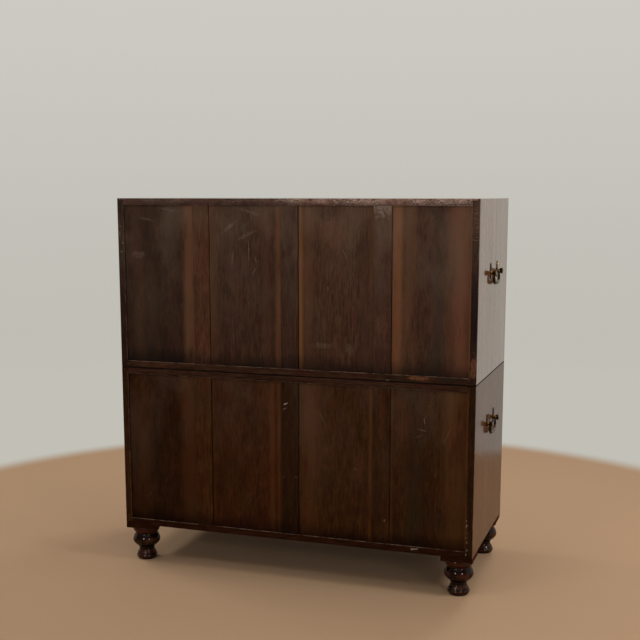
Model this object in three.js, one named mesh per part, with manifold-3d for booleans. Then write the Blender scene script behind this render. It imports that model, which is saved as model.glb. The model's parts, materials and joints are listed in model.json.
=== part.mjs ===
// Campaign chest: two cases of drawers, one on the other, on four turned feet. Millimetres, +Z up.
// The drawers open towards -Y and the panelled backs face +Y. The origin is on the floor, under the middle.
import * as THREE from 'three';
import { mergeVertices } from 'three/addons/utils/BufferGeometryUtils.js';
import Module from 'manifold-3d';

const wasm = await Module();
wasm.setup();

// Driving sizes of the chest
const chestWidth = 990;
const chestDepth = 440;
const lowerCaseHeight = 450;
const upperCaseHeight = 461;
const boardThickness = 18;
const footHeight = 96;
const footBlockHeight = 13;
const footBlockSide = 83;
const shortDrawerOpening = 193;
const lowerCaseTopOpening = 194;
const lowerHandleHeight = 320;
const upperHandleHeight = 270;

// Fits: the gap between seated pieces, the running gaps, and how far a cutter passes the face it cuts
const seatGap = 0.3;
const pivotGap = 0.35;
const cutOverrun = 2;
const joinOverlap = 1;

// Joinery of the cases: hidden dovetails under a lap, stopped housings for the shelves
const cornerLap = 5;
const cornerTailCount = 4;
const tailEndShare = 0.62;
const tailRootShare = 0.44;
const housingDepth = 6;
const housingStop = 30;
const pegRadius = 8;
const pegHeight = 12;
const pegInset = 62;

// The back: panels in grooves, between muntins that lie flush with the boards' edges
const panelCount = 4;
const panelThickness = 8;
const panelRecess = 5;
const panelTongue = 6;
const muntinWidth = 47;
const muntinThickness = 20;
const tenonLength = 9;
const tenonShoulder = 6;

// The drawers
const frontThickness = 22;
const frontLap = 5;
const frontSideGap = 1.2;
const frontTopGap = 1.6;
const frontBottomGap = 1;
const drawerBackRoom = 15;
const drawerSideThickness = 11;
const drawerSideGap = 1.5;
const drawerSideDrop = 7;
const drawerTailCount = 3;
const drawerBackThickness = 10;
const drawerBackDrop = 6;
const drawerBottomThickness = 7;
const drawerBottomHeight = 10;
const drawerBottomHousing = 4;
const drawerBottomShoulder = 3;
const longHandleShare = 0.27;

// The flush handles, let into the drawer fronts, and the escutcheons over the locks
const plateWidth = 92;
const plateHeight = 58;
const plateCorner = 3;
const plateSeatDepth = 1;
const trayWidth = 78;
const trayHeight = 44;
const trayCorner = 6;
const trayDepth = 7.4;
const dishWidth = 56;
const dishHeight = 31;
const dishCorner = 11;
const dishDepth = 13;
const dishDrop = 5;
const flushAxisDepth = 3.3;
const flushAxisRise = 14;
const flushBarRadius = 2.5;
const flushBailWidth = 69;
const flushBailDrop = 26;
const flushBailCorner = 9;
const flushPinRadius = 1.5;
const flushPinReach = 2.2;
const escutcheonRadius = 9;
const escutcheonDrop = 27;
const keyholeRadius = 2.6;
const keyholeSlotWidth = 3;
const keyholeSlotLength = 8;
const keyholeDepth = 8;

// The carrying handles on the sides: two mounts each, and a bail with a swelling grip between them
const mountSpacing = 98;
const mountPlateRadius = 8.5;
const mountPlateThickness = 1.8;
const spikeRise = 26;
const spikeDrop = 17;
const spikeWidth = 3.8;
const spikeTipWidth = 0.8;
const collarRadius = 7;
const collarReach = 4;
const neckRadius = 4.4;
const neckReach = 6.6;
const pommelRadius = 8;
const pommelReach = 14.2;
const mountReach = 16;
const carryAxisReach = 7.6;
const carryPinRadius = 1.7;
const carryPinDepth = 2.6;
const carryLegRadius = 2.6;
const gripRadius = 6;
const carryLegInset = 11.5;
const carryDrop = 27;
const carryCorner = 16;

// The turned feet: radii, and how far each level lies below the block
const footSpigotRadius = 13.5;
const footSpigotLength = 26;
const footSpigotPlay = 1;
const footDiscRadius = 38;
const footDiscLip = 8;
const footDiscFoot = 19;
const footDiscWaist = 30;
const footTorusRadius = 38.5;
const footTorusMiddle = 40;
const footTorusFoot = 59;
const footTorusWaist = 24;
const footNeckRadius = 21.3;
const footNeckLevel = 67;
const footBellRadius = 26.8;
const footBellLevel = 78;
const footGrooveLevel = 79.4;
const footGrooveDepth = 1.3;
const footRimTop = 81;
const footRimRadius = 29.2;
const footRimLevel = 86.5;
const footBaseRadius = 25;

// How finely the round forms are divided
const footFacets = 16;
const footCurveSteps = 3;
const pegFacets = 10;
const boreFacets = 8;
const mountFacets = 10;
const discFacets = 12;
const flushBarSides = 6;
const carryBarSides = 8;
const barCornerSteps = 4;
const gripSteps = 4;
const plateCornerSteps = 1;
const dishCornerSteps = 2;

// Finishes
const mahogany = { color: 0x5a2c19, roughness: 0.3, metalness: 0 };
const backWood = { color: 0x38201a, roughness: 0.6, metalness: 0 };
const liningWood = { color: 0x8d6a43, roughness: 0.7, metalness: 0 };
const turnedWood = { color: 0x1d0e0a, roughness: 0.2, metalness: 0 };
const brass = { color: 0x8a6a2f, roughness: 0.35, metalness: 1 };

// Places that follow from the sizes above
const innerWidth = chestWidth - 2 * boardThickness;
const innerHalf = innerWidth / 2;
const frontPlane = -chestDepth / 2;
const backPlane = chestDepth / 2;
const panelOuterPlane = backPlane - panelRecess;
const panelInnerPlane = panelOuterPlane - panelThickness;
const shelfBackPlane = backPlane - muntinThickness - seatGap;
const drawerDepth = chestDepth - muntinThickness - drawerBackRoom;
const grooveDepth = panelTongue + seatGap;
const lowerCaseBase = footHeight + footBlockHeight;
const upperCaseBase = lowerCaseBase + lowerCaseHeight + seatGap;
const panelWidth = (innerWidth - (panelCount - 1) * muntinWidth) / panelCount;
const footCentreX = (chestWidth - footBlockSide) / 2;
const footCentreY = (chestDepth - footBlockSide) / 2;
const pegCentreX = chestWidth / 2 - pegInset;
const pegCentreY = chestDepth / 2 - pegInset;
const lowerShelfZ = lowerCaseHeight - 2 * boardThickness - lowerCaseTopOpening;
const upperShelfZ = upperCaseHeight - 2 * boardThickness - shortDrawerOpening;

// Solids from three.js geometry: corners are welded, and triangles that the weld closes up are left out
const weldDistance = 0.0001;
const triangleCorners = 3;

function solidOf(geometry) {
  const bare = new THREE.BufferGeometry();
  bare.setAttribute('position', geometry.getAttribute('position').clone());
  if (geometry.index) bare.setIndex(geometry.index.clone());
  const welded = mergeVertices(bare, weldDistance);
  const corners = Array.from(welded.index.array);
  const kept = [];
  for (let i = 0; i < corners.length; i += triangleCorners) {
    const [a, b, c] = corners.slice(i, i + triangleCorners);
    if (a !== b && b !== c && c !== a) kept.push(a, b, c);
  }
  const mesh = new wasm.Mesh({
    numProp: 3,
    vertProperties: welded.getAttribute('position').array,
    triVerts: Uint32Array.from(kept),
  });
  return new wasm.Manifold(mesh);
}

function meshOf(name, solid, finish) {
  const result = solid.getMesh();
  const geometry = new THREE.BufferGeometry();
  geometry.setAttribute('position', new THREE.BufferAttribute(Float32Array.from(result.vertProperties), 3));
  geometry.setIndex(new THREE.BufferAttribute(Uint32Array.from(result.triVerts), 1));
  geometry.computeVertexNormals();
  const mesh = new THREE.Mesh(geometry, new THREE.MeshStandardMaterial(finish));
  mesh.name = name;
  return mesh;
}

function joined(solids) {
  return solids.reduce((whole, solid) => whole.add(solid));
}

function cutFrom(solid, cutters) {
  return cutters.reduce((rest, cutter) => rest.subtract(cutter), solid);
}

// A box between two planes on each axis
function boxBetween([x0, x1], [y0, y1], [z0, z1]) {
  const geometry = new THREE.BoxGeometry(x1 - x0, y1 - y0, z1 - z0);
  geometry.translate((x0 + x1) / 2, (y0 + y1) / 2, (z0 + z1) / 2);
  return solidOf(geometry);
}

function around(centre, half) {
  return [centre - half, centre + half];
}

// Extrusions: an outline seen from above, from the side, or from the front
function shapeThrough(points) {
  return new THREE.Shape(points.map(([across, up]) => new THREE.Vector2(across, up)));
}

function extrudedUp(shape, [z0, z1]) {
  const geometry = new THREE.ExtrudeGeometry(shape, { depth: z1 - z0, bevelEnabled: false });
  geometry.translate(0, 0, z0);
  return solidOf(geometry);
}

const yzOutlineAlongX = new THREE.Matrix4().makeBasis(
  new THREE.Vector3(0, 1, 0),
  new THREE.Vector3(0, 0, 1),
  new THREE.Vector3(1, 0, 0),
);

function extrudedAcross(shape, [x0, x1]) {
  const geometry = new THREE.ExtrudeGeometry(shape, { depth: x1 - x0, bevelEnabled: false });
  geometry.applyMatrix4(yzOutlineAlongX);
  geometry.translate(x0, 0, 0);
  return solidOf(geometry);
}

const xzOutlineAlongY = new THREE.Matrix4().makeBasis(
  new THREE.Vector3(1, 0, 0),
  new THREE.Vector3(0, 0, 1),
  new THREE.Vector3(0, -1, 0),
);

function extrudedInward(shape, [y0, y1], curveSegments = plateCornerSteps) {
  const geometry = new THREE.ExtrudeGeometry(shape, { depth: y1 - y0, bevelEnabled: false, curveSegments });
  geometry.applyMatrix4(xzOutlineAlongY);
  geometry.translate(0, y1, 0);
  return solidOf(geometry);
}

function roundedRectangle(centreX, centreZ, width, height, corner) {
  const [left, right] = around(centreX, width / 2);
  const [low, high] = around(centreZ, height / 2);
  const shape = new THREE.Shape();
  shape.moveTo(left + corner, low);
  shape.lineTo(right - corner, low);
  shape.absarc(right - corner, low + corner, corner, -Math.PI / 2, 0, false);
  shape.lineTo(right, high - corner);
  shape.absarc(right - corner, high - corner, corner, 0, Math.PI / 2, false);
  shape.lineTo(left + corner, high);
  shape.absarc(left + corner, high - corner, corner, Math.PI / 2, Math.PI, false);
  shape.lineTo(left, low + corner);
  shape.absarc(left + corner, low + corner, corner, Math.PI, Math.PI * 1.5, false);
  return shape;
}

// Round bars along the three axes
function uprightRod(x, y, radius, [z0, z1], facets) {
  const geometry = new THREE.CylinderGeometry(radius, radius, z1 - z0, facets);
  geometry.rotateX(Math.PI / 2);
  geometry.translate(x, y, (z0 + z1) / 2);
  return solidOf(geometry);
}

function rodAlongX(y, z, radius, [x0, x1], facets) {
  const geometry = new THREE.CylinderGeometry(radius, radius, x1 - x0, facets);
  geometry.rotateZ(Math.PI / 2);
  geometry.translate((x0 + x1) / 2, y, z);
  return solidOf(geometry);
}

function rodAlongY(x, z, radius, [y0, y1], facets) {
  const geometry = new THREE.CylinderGeometry(radius, radius, y1 - y0, facets);
  geometry.translate(x, (y0 + y1) / 2, z);
  return solidOf(geometry);
}

// Hidden dovetails at both ends of a case board: tails, covered by a lap on the board's outer face.
// The same outline, grown by a clearance, cuts the housings in the sides.
function tailPlan(side, centreY, grow) {
  const pitch = chestDepth / cornerTailCount;
  const rootHalf = (pitch * tailRootShare) / 2 + grow;
  const endHalf = (pitch * tailEndShare) / 2 + grow;
  const rootX = side * (innerHalf - joinOverlap);
  const endX = side * (chestWidth / 2 - cornerLap + grow);
  return shapeThrough([
    [rootX, centreY - rootHalf],
    [endX, centreY - endHalf],
    [endX, centreY + endHalf],
    [rootX, centreY + rootHalf],
  ]);
}

function boardEnds(baseZ, lapIsUp, grow, overrun) {
  const topZ = baseZ + boardThickness;
  const tailSpan = lapIsUp ? [baseZ - grow, topZ] : [baseZ, topZ + grow];
  const lapSpan = lapIsUp
    ? [topZ - cornerLap - grow, topZ + overrun]
    : [baseZ - overrun, baseZ + cornerLap + grow];
  const pitch = chestDepth / cornerTailCount;
  const solids = [];
  for (const side of [-1, 1]) {
    const lapX = [side * (innerHalf - joinOverlap), side * (chestWidth / 2 - cornerLap + grow)];
    lapX.sort((a, b) => a - b);
    solids.push(boxBetween(lapX, [frontPlane - overrun, backPlane + overrun], lapSpan));
    for (let i = 0; i < cornerTailCount; i += 1) {
      const centreY = frontPlane + pitch * (i + 0.5);
      solids.push(extrudedUp(tailPlan(side, centreY, grow), tailSpan));
    }
  }
  return joined(solids);
}

function muntinCentres() {
  const centres = [];
  for (let i = 1; i < panelCount; i += 1) {
    centres.push(-innerHalf + i * (panelWidth + muntinWidth) - muntinWidth / 2);
  }
  return centres;
}

// A case's top or bottom board, with its groove for the panels and its mortises for the muntins
function caseBoard(baseZ, lapIsUp) {
  const topZ = baseZ + boardThickness;
  const faceZ = lapIsUp ? baseZ : topZ;
  const inward = lapIsUp ? 1 : -1;
  const depthSpan = (depth) => [faceZ - inward * cutOverrun, faceZ + inward * depth].sort((a, b) => a - b);
  const grooveY = [panelInnerPlane - seatGap, panelOuterPlane + seatGap];
  const middle = boxBetween(around(0, innerHalf - seatGap), [frontPlane, backPlane], [baseZ, topZ]);
  const groove = boxBetween(around(0, innerHalf - seatGap + cutOverrun), grooveY, depthSpan(grooveDepth));
  const mortiseHalf = muntinWidth / 2 - tenonShoulder + seatGap;
  const mortises = muntinCentres().map((x) =>
    boxBetween(around(x, mortiseHalf), grooveY, depthSpan(tenonLength + seatGap)));
  return cutFrom(joined([middle, boardEnds(baseZ, lapIsUp, 0, 0)]), [groove, ...mortises]);
}

// A case side: housings for the two boards and the shelf, and a groove for the panel beside it
function caseSide(caseHeight, shelfZ, side) {
  const spanX = (from, to) => [side * from, side * to].sort((a, b) => a - b);
  const board = boxBetween(spanX(innerHalf, chestWidth / 2), [frontPlane, backPlane], [0, caseHeight]);
  const shelfHousing = boxBetween(
    spanX(innerHalf - cutOverrun, innerHalf + housingDepth + seatGap),
    [frontPlane + housingStop - seatGap, shelfBackPlane + seatGap],
    [shelfZ - seatGap, shelfZ + boardThickness + seatGap],
  );
  const panelGroove = boxBetween(
    spanX(innerHalf - cutOverrun, innerHalf + grooveDepth),
    [panelInnerPlane - seatGap, panelOuterPlane + seatGap],
    [boardThickness - grooveDepth, caseHeight - boardThickness + grooveDepth],
  );
  const lowEnds = boardEnds(0, false, seatGap, cutOverrun);
  const highEnds = boardEnds(caseHeight - boardThickness, true, seatGap, cutOverrun);
  return cutFrom(board, [lowEnds, highEnds, shelfHousing, panelGroove]);
}

// A shelf between drawers is one dust board, its tongues stopped short of the front
function shelfSolid(shelfZ) {
  const spanZ = [shelfZ, shelfZ + boardThickness];
  const body = boxBetween(around(0, innerHalf - seatGap), [frontPlane, shelfBackPlane], spanZ);
  const tongues = boxBetween(
    around(0, innerHalf + housingDepth),
    [frontPlane + housingStop, shelfBackPlane],
    spanZ,
  );
  return body.add(tongues);
}

// The upright between the short drawers is housed in the shelf below and the board above
function dividerSolid(lowZ, highZ) {
  const halfThickness = boardThickness / 2;
  const depth = [frontPlane, shelfBackPlane];
  const body = boxBetween(around(0, halfThickness), depth, [lowZ + seatGap, highZ - seatGap]);
  const tongues = boxBetween(
    around(0, halfThickness),
    [frontPlane + housingStop, shelfBackPlane],
    [lowZ - housingDepth, highZ + housingDepth],
  );
  return body.add(tongues);
}

function dividerHousing(faceZ, inward) {
  return boxBetween(
    around(0, boardThickness / 2 + seatGap),
    [frontPlane + housingStop - seatGap, shelfBackPlane + seatGap],
    [faceZ - inward * cutOverrun, faceZ + inward * (housingDepth + seatGap)].sort((a, b) => a - b),
  );
}

// A muntin stands flush with the boards' back edges. Its edges are grooved, and its ends are tenoned.
function muntinSolid(caseHeight) {
  const half = muntinWidth / 2;
  const lowZ = boardThickness + seatGap;
  const highZ = caseHeight - boardThickness - seatGap;
  const bar = boxBetween(around(0, half), [backPlane - muntinThickness, backPlane], [lowZ, highZ]);
  const tenons = boxBetween(
    around(0, half - tenonShoulder),
    [panelInnerPlane, panelOuterPlane],
    [boardThickness - tenonLength, caseHeight - boardThickness + tenonLength],
  );
  const grooves = [-1, 1].map((side) => boxBetween(
    [side * (half - grooveDepth), side * (half + cutOverrun)].sort((a, b) => a - b),
    [panelInnerPlane - seatGap, panelOuterPlane + seatGap],
    [lowZ - cutOverrun, highZ + cutOverrun],
  ));
  return cutFrom(bar, grooves).add(tenons);
}

function panelSolid(caseHeight) {
  return boxBetween(
    around(0, panelWidth / 2 + panelTongue),
    [panelInnerPlane, panelOuterPlane],
    [boardThickness - panelTongue, caseHeight - boardThickness + panelTongue],
  );
}

// The four corners, as pairs of signs
const cornerSigns = [[-1, -1], [1, -1], [-1, 1], [1, 1]];

function pegs(baseZ, radius, height, overlap) {
  return cornerSigns.map(([sx, sy]) => uprightRod(
    sx * pegCentreX,
    sy * pegCentreY,
    radius,
    [baseZ - overlap, baseZ + height],
    pegFacets,
  ));
}

// The lower bottom board carries the four square foot blocks, glued on, with bores for the feet's spigots
function lowerBottomSolid() {
  const half = footBlockSide / 2;
  const blocks = cornerSigns.map(([sx, sy]) => boxBetween(
    around(sx * footCentreX, half),
    around(sy * footCentreY, half),
    [-footBlockHeight, joinOverlap],
  ));
  const sideClearances = [-1, 1].map((side) => boxBetween(
    [side * (chestWidth / 2 - cornerLap), side * (chestWidth / 2 + cutOverrun)].sort((a, b) => a - b),
    [frontPlane - cutOverrun, backPlane + cutOverrun],
    [-seatGap, boardThickness],
  ));
  const boreTop = footSpigotLength + footSpigotPlay - footBlockHeight;
  const bores = cornerSigns.map(([sx, sy]) => uprightRod(
    sx * footCentreX,
    sy * footCentreY,
    footSpigotRadius + 2 * pivotGap,
    [-footBlockHeight - cutOverrun, boreTop],
    footFacets,
  ));
  return cutFrom(joined([...blocks, caseBoard(0, false)]), [...sideClearances, ...bores]);
}

function backOf(prefix, caseHeight, group) {
  const pitch = panelWidth + muntinWidth;
  for (let i = 0; i < panelCount; i += 1) {
    const panel = meshOf(`${prefix}_back_panel_${i + 1}`, panelSolid(caseHeight), backWood);
    panel.position.x = -innerHalf + panelWidth / 2 + i * pitch;
    group.add(panel);
  }
  muntinCentres().forEach((x, i) => {
    const muntin = meshOf(`${prefix}_back_muntin_${i + 1}`, muntinSolid(caseHeight), backWood);
    muntin.position.x = x;
    group.add(muntin);
  });
}

// Drawer joinery: tails on the sides' front ends enter sockets in the front, which a lap hides from outside
function drawerTails(openingHeight, spanX, grow, rootOverlap) {
  const lowZ = seatGap;
  const sideHeight = openingHeight - drawerSideDrop - lowZ;
  const pitch = sideHeight / drawerTailCount;
  const tails = [];
  for (let i = 0; i < drawerTailCount; i += 1) {
    const centreZ = lowZ + pitch * (i + 0.5);
    const endHalf = (pitch * tailEndShare) / 2 + grow;
    const rootHalf = (pitch * tailRootShare) / 2 + grow;
    const outline = shapeThrough([
      [frontLap - grow, centreZ - endHalf],
      [frontThickness + rootOverlap, centreZ - rootHalf],
      [frontThickness + rootOverlap, centreZ + rootHalf],
      [frontLap - grow, centreZ + endHalf],
    ]);
    tails.push(extrudedAcross(outline, spanX));
  }
  return tails;
}

// A drawer's own frame: x across from its middle, y inwards from its front face, z up from the board it runs on
function drawerBox(openingWidth, openingHeight) {
  const outer = openingWidth / 2 - drawerSideGap;
  const inner = outer - drawerSideThickness;
  const topZ = openingHeight - drawerSideDrop;
  const startY = frontThickness + seatGap;
  const solids = [];
  for (const side of [-1, 1]) {
    const spanX = [side * inner, side * outer].sort((a, b) => a - b);
    solids.push(boxBetween(spanX, [startY, drawerDepth], [seatGap, topZ]));
    solids.push(...drawerTails(openingHeight, spanX, 0, joinOverlap));
  }
  const bottomZ = [drawerBottomHeight, drawerBottomHeight + drawerBottomThickness];
  const tongueY = [frontThickness - drawerBottomHousing, startY + joinOverlap];
  const backY = [drawerDepth - drawerBackThickness, drawerDepth];
  solids.push(boxBetween(around(0, inner + joinOverlap), [startY, drawerDepth], bottomZ));
  solids.push(boxBetween(around(0, inner - drawerBottomShoulder), tongueY, bottomZ));
  solids.push(boxBetween(around(0, inner + joinOverlap), backY, [drawerBottomHeight, topZ - drawerBackDrop]));
  return joined(solids);
}

function keyholeShape(centreZ) {
  const halfSlot = keyholeSlotWidth / 2;
  const meet = Math.asin(halfSlot / keyholeRadius);
  const shape = new THREE.Shape();
  shape.moveTo(-halfSlot, centreZ - keyholeSlotLength);
  shape.lineTo(halfSlot, centreZ - keyholeSlotLength);
  shape.absarc(0, centreZ, keyholeRadius, -Math.PI / 2 + meet, Math.PI * 1.5 - meet, false);
  return shape;
}

// The cuts that let one flush handle into a front: the plate's seat, the bail's tray, the finger dish, the pivots
function flushHandleCuts(x, z) {
  const seat = roundedRectangle(x, z, plateWidth, plateHeight, plateCorner);
  const tray = roundedRectangle(x, z, trayWidth, trayHeight, trayCorner);
  const dish = roundedRectangle(x, z - dishDrop, dishWidth, dishHeight, dishCorner);
  const pivotHalf = trayWidth / 2 + flushPinReach + 2 * pivotGap;
  return [
    extrudedInward(seat, [-cutOverrun, plateSeatDepth]),
    extrudedInward(tray, [-cutOverrun, trayDepth]),
    extrudedInward(dish, [-cutOverrun, dishDepth], dishCornerSteps),
    rodAlongX(flushAxisDepth, z + flushAxisRise, flushPinRadius + pivotGap, around(x, pivotHalf), boreFacets),
  ];
}

function frontMiddleZ(openingHeight) {
  return (frontBottomGap + openingHeight - frontTopGap) / 2;
}

function drawerFront(openingWidth, openingHeight, handleXs) {
  const half = openingWidth / 2 - frontSideGap;
  const sideOuter = openingWidth / 2 - drawerSideGap;
  const sideInner = sideOuter - drawerSideThickness;
  const highZ = openingHeight - frontTopGap;
  const lockZ = highZ - escutcheonDrop;
  const board = boxBetween(around(0, half), [0, frontThickness], [frontBottomGap, highZ]);
  const cutters = [];
  for (const side of [-1, 1]) {
    const spanX = [side * (sideInner - seatGap), side * (half + cutOverrun)].sort((a, b) => a - b);
    cutters.push(...drawerTails(openingHeight, spanX, seatGap, cutOverrun));
  }
  cutters.push(boxBetween(
    around(0, sideInner - drawerBottomShoulder + seatGap),
    [frontThickness - drawerBottomHousing - seatGap, frontThickness + cutOverrun],
    [drawerBottomHeight - seatGap, drawerBottomHeight + drawerBottomThickness + seatGap],
  ));
  handleXs.forEach((x) => cutters.push(...flushHandleCuts(x, frontMiddleZ(openingHeight))));
  cutters.push(rodAlongY(0, lockZ, escutcheonRadius, [-cutOverrun, plateSeatDepth], discFacets));
  cutters.push(extrudedInward(keyholeShape(lockZ), [-cutOverrun, keyholeDepth], dishCornerSteps));
  return cutFrom(board, cutters);
}

// A round bar swept along curves that lie in the XZ plane. Each curve has its own number of steps, and
// the radius is given by the share of the way along.
function sweptBar(curves, stepCounts, barSides, radiusAt) {
  const lengths = curves.map((curve) => curve.getLength());
  const total = lengths.reduce((sum, length) => sum + length, 0);
  const stations = [{ centre: curves[0].getPoint(0), tangent: curves[0].getTangent(0), share: 0 }];
  let travelled = 0;
  curves.forEach((curve, i) => {
    for (let step = 1; step <= stepCounts[i]; step += 1) {
      const t = step / stepCounts[i];
      const share = (travelled + lengths[i] * t) / total;
      stations.push({ centre: curve.getPoint(t), tangent: curve.getTangent(t), share });
    }
    travelled += lengths[i];
  });
  const across = new THREE.Vector3(0, 1, 0);
  const positions = [];
  stations.forEach(({ centre, tangent, share }) => {
    const outward = tangent.clone().cross(across);
    for (let k = 0; k < barSides; k += 1) {
      const turn = ((k + 0.5) / barSides) * Math.PI * 2;
      const offset = across.clone().multiplyScalar(Math.cos(turn)).addScaledVector(outward, Math.sin(turn));
      positions.push(...centre.clone().addScaledVector(offset, radiusAt(share)).toArray());
    }
  });
  const faces = [];
  const last = (stations.length - 1) * barSides;
  for (let here = 0; here < last; here += barSides) {
    for (let k = 0; k < barSides; k += 1) {
      const next = here + barSides;
      const turned = (k + 1) % barSides;
      faces.push(here + k, here + turned, next + turned);
      faces.push(here + k, next + turned, next + k);
    }
  }
  for (let k = 1; k < barSides - 1; k += 1) {
    faces.push(0, k + 1, k);
    faces.push(last, last + k, last + k + 1);
  }
  const geometry = new THREE.BufferGeometry();
  geometry.setAttribute('position', new THREE.Float32BufferAttribute(positions, 3));
  geometry.setIndex(faces);
  return solidOf(geometry);
}

// A hanging U: two legs from above the pivot line down to rounded corners and a level grip
function bailCurves(halfWidth, legTop, drop, corner) {
  const point = (x, z) => new THREE.Vector3(x, 0, z);
  return [
    new THREE.LineCurve3(point(-halfWidth, legTop), point(-halfWidth, corner - drop)),
    new THREE.QuadraticBezierCurve3(
      point(-halfWidth, corner - drop),
      point(-halfWidth, -drop),
      point(corner - halfWidth, -drop),
    ),
    new THREE.LineCurve3(point(corner - halfWidth, -drop), point(halfWidth - corner, -drop)),
    new THREE.QuadraticBezierCurve3(
      point(halfWidth - corner, -drop),
      point(halfWidth, -drop),
      point(halfWidth, corner - drop),
    ),
    new THREE.LineCurve3(point(halfWidth, corner - drop), point(halfWidth, legTop)),
  ];
}

// Two pins on the pivot line, from the bail's legs outwards
function bailPins(half, pinEnd, radius, barSides) {
  return [-1, 1].map((side) =>
    rodAlongX(0, 0, radius, [side * half, side * pinEnd].sort((a, b) => a - b), barSides));
}

// A flush bail hangs from its pivot line at the origin, its two pins reaching into the front
function flushBailSolid() {
  const half = flushBailWidth / 2;
  const curves = bailCurves(half, flushBarRadius, flushBailDrop, flushBailCorner);
  const steps = [1, barCornerSteps, 1, barCornerSteps, 1];
  const bar = sweptBar(curves, steps, flushBarSides, () => flushBarRadius);
  const pinEnd = trayWidth / 2 + flushPinReach;
  return joined([bar, ...bailPins(half, pinEnd, flushPinRadius, flushBarSides)]);
}

// A carrying bail: thin legs, and a grip that swells towards its middle
function carryBailSolid() {
  const half = mountSpacing / 2 - carryLegInset;
  const curves = bailCurves(half, carryLegRadius, carryDrop, carryCorner);
  const steps = [1, barCornerSteps, gripSteps, barCornerSteps, 1];
  const swell = (share) => Math.sin(Math.PI * share) ** 2;
  const radiusAt = (share) => carryLegRadius + (gripRadius - carryLegRadius) * swell(share);
  const bar = sweptBar(curves, steps, carryBarSides, radiusAt);
  const pinEnd = mountSpacing / 2 - neckRadius + carryPinDepth;
  return joined([bar, ...bailPins(half, pinEnd, carryPinRadius, carryBarSides)]);
}

// A mount stands on the surface at y = 0 and reaches out towards -Y: plate with two spikes, neck and pommel
function carryMountSolid() {
  const plate = rodAlongY(0, 0, mountPlateRadius, [-mountPlateThickness, 0], discFacets);
  const spikes = extrudedInward(shapeThrough([
    [-spikeWidth, 0],
    [-spikeTipWidth, -spikeDrop],
    [spikeTipWidth, -spikeDrop],
    [spikeWidth, 0],
    [spikeTipWidth, spikeRise],
    [-spikeTipWidth, spikeRise],
  ]), [-mountPlateThickness, 0]);
  const profile = [
    [0, mountPlateThickness - joinOverlap],
    [collarRadius, mountPlateThickness - joinOverlap],
    [collarRadius, mountPlateThickness],
    [neckRadius, collarReach],
    [neckRadius, neckReach],
    [pommelRadius, pommelReach - joinOverlap],
    [pommelRadius, pommelReach],
    [neckRadius, mountReach],
    [0, mountReach],
  ];
  const post = new THREE.LatheGeometry(profile.map(([r, reach]) => new THREE.Vector2(r, reach)), mountFacets);
  post.rotateX(Math.PI);
  const bore = rodAlongX(
    -carryAxisReach,
    0,
    carryPinRadius + pivotGap,
    around(0, pommelRadius + cutOverrun),
    boreFacets,
  );
  return joined([plate, spikes, solidOf(post)]).subtract(bore);
}

// A turned foot: spigot, disc, torus, neck, and a bell that ends in a fine groove and a rim
function footProfile() {
  const level = (below) => footHeight - seatGap - below;
  const sweep = (r0, r1, low, high, bulge) => {
    const points = [];
    for (let i = 1; i < footCurveSteps; i += 1) {
      const share = i / footCurveSteps;
      const eased = bulge ? Math.sin((share * Math.PI) / 2) : 1 - Math.cos((share * Math.PI) / 2);
      points.push([r0 + (r1 - r0) * eased, low + (high - low) * share]);
    }
    return points;
  };
  const points = [
    [0, -footSpigotLength],
    [footSpigotRadius, -footSpigotLength],
    [footSpigotRadius, 0],
    [footDiscRadius, 0],
    [footDiscRadius, footDiscLip],
    ...sweep(footDiscRadius, footDiscWaist, footDiscLip, footDiscFoot, false),
    [footDiscWaist, footDiscFoot],
    ...sweep(footDiscWaist, footTorusRadius, footDiscFoot, footTorusMiddle, true),
    [footTorusRadius, footTorusMiddle],
    ...sweep(footTorusRadius, footTorusWaist, footTorusMiddle, footTorusFoot, false),
    [footTorusWaist, footTorusFoot],
    [footNeckRadius, footNeckLevel],
    ...sweep(footNeckRadius, footBellRadius, footNeckLevel, footBellLevel, false),
    [footBellRadius, footBellLevel],
    [footBellRadius - footGrooveDepth, footGrooveLevel],
    [footBellRadius, footRimTop],
    [footRimRadius, footRimLevel],
    ...sweep(footRimRadius, footBaseRadius, footRimLevel, footHeight - seatGap, false),
    [footBaseRadius, footHeight - seatGap],
    [0, footHeight - seatGap],
  ];
  return points.map(([radius, below]) => new THREE.Vector2(radius, level(below))).reverse();
}

function footSolid() {
  const geometry = new THREE.LatheGeometry(footProfile(), footFacets);
  geometry.rotateX(Math.PI / 2);
  return solidOf(geometry);
}

// Assembly
const chest = new THREE.Group();
const lowerCase = new THREE.Group();
const upperCase = new THREE.Group();
lowerCase.position.z = lowerCaseBase;
upperCase.position.z = upperCaseBase;
chest.add(lowerCase, upperCase);

function addCase(group, prefix, caseHeight, shelfZ, topSolid, bottomSolid, shelf) {
  group.add(meshOf(`${prefix}_left_side`, caseSide(caseHeight, shelfZ, -1), mahogany));
  group.add(meshOf(`${prefix}_right_side`, caseSide(caseHeight, shelfZ, 1), mahogany));
  group.add(meshOf(`${prefix}_top`, topSolid, mahogany));
  group.add(meshOf(`${prefix}_bottom`, bottomSolid, mahogany));
  group.add(meshOf(`${prefix}_shelf`, shelf, mahogany));
  backOf(prefix, caseHeight, group);
}

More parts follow.
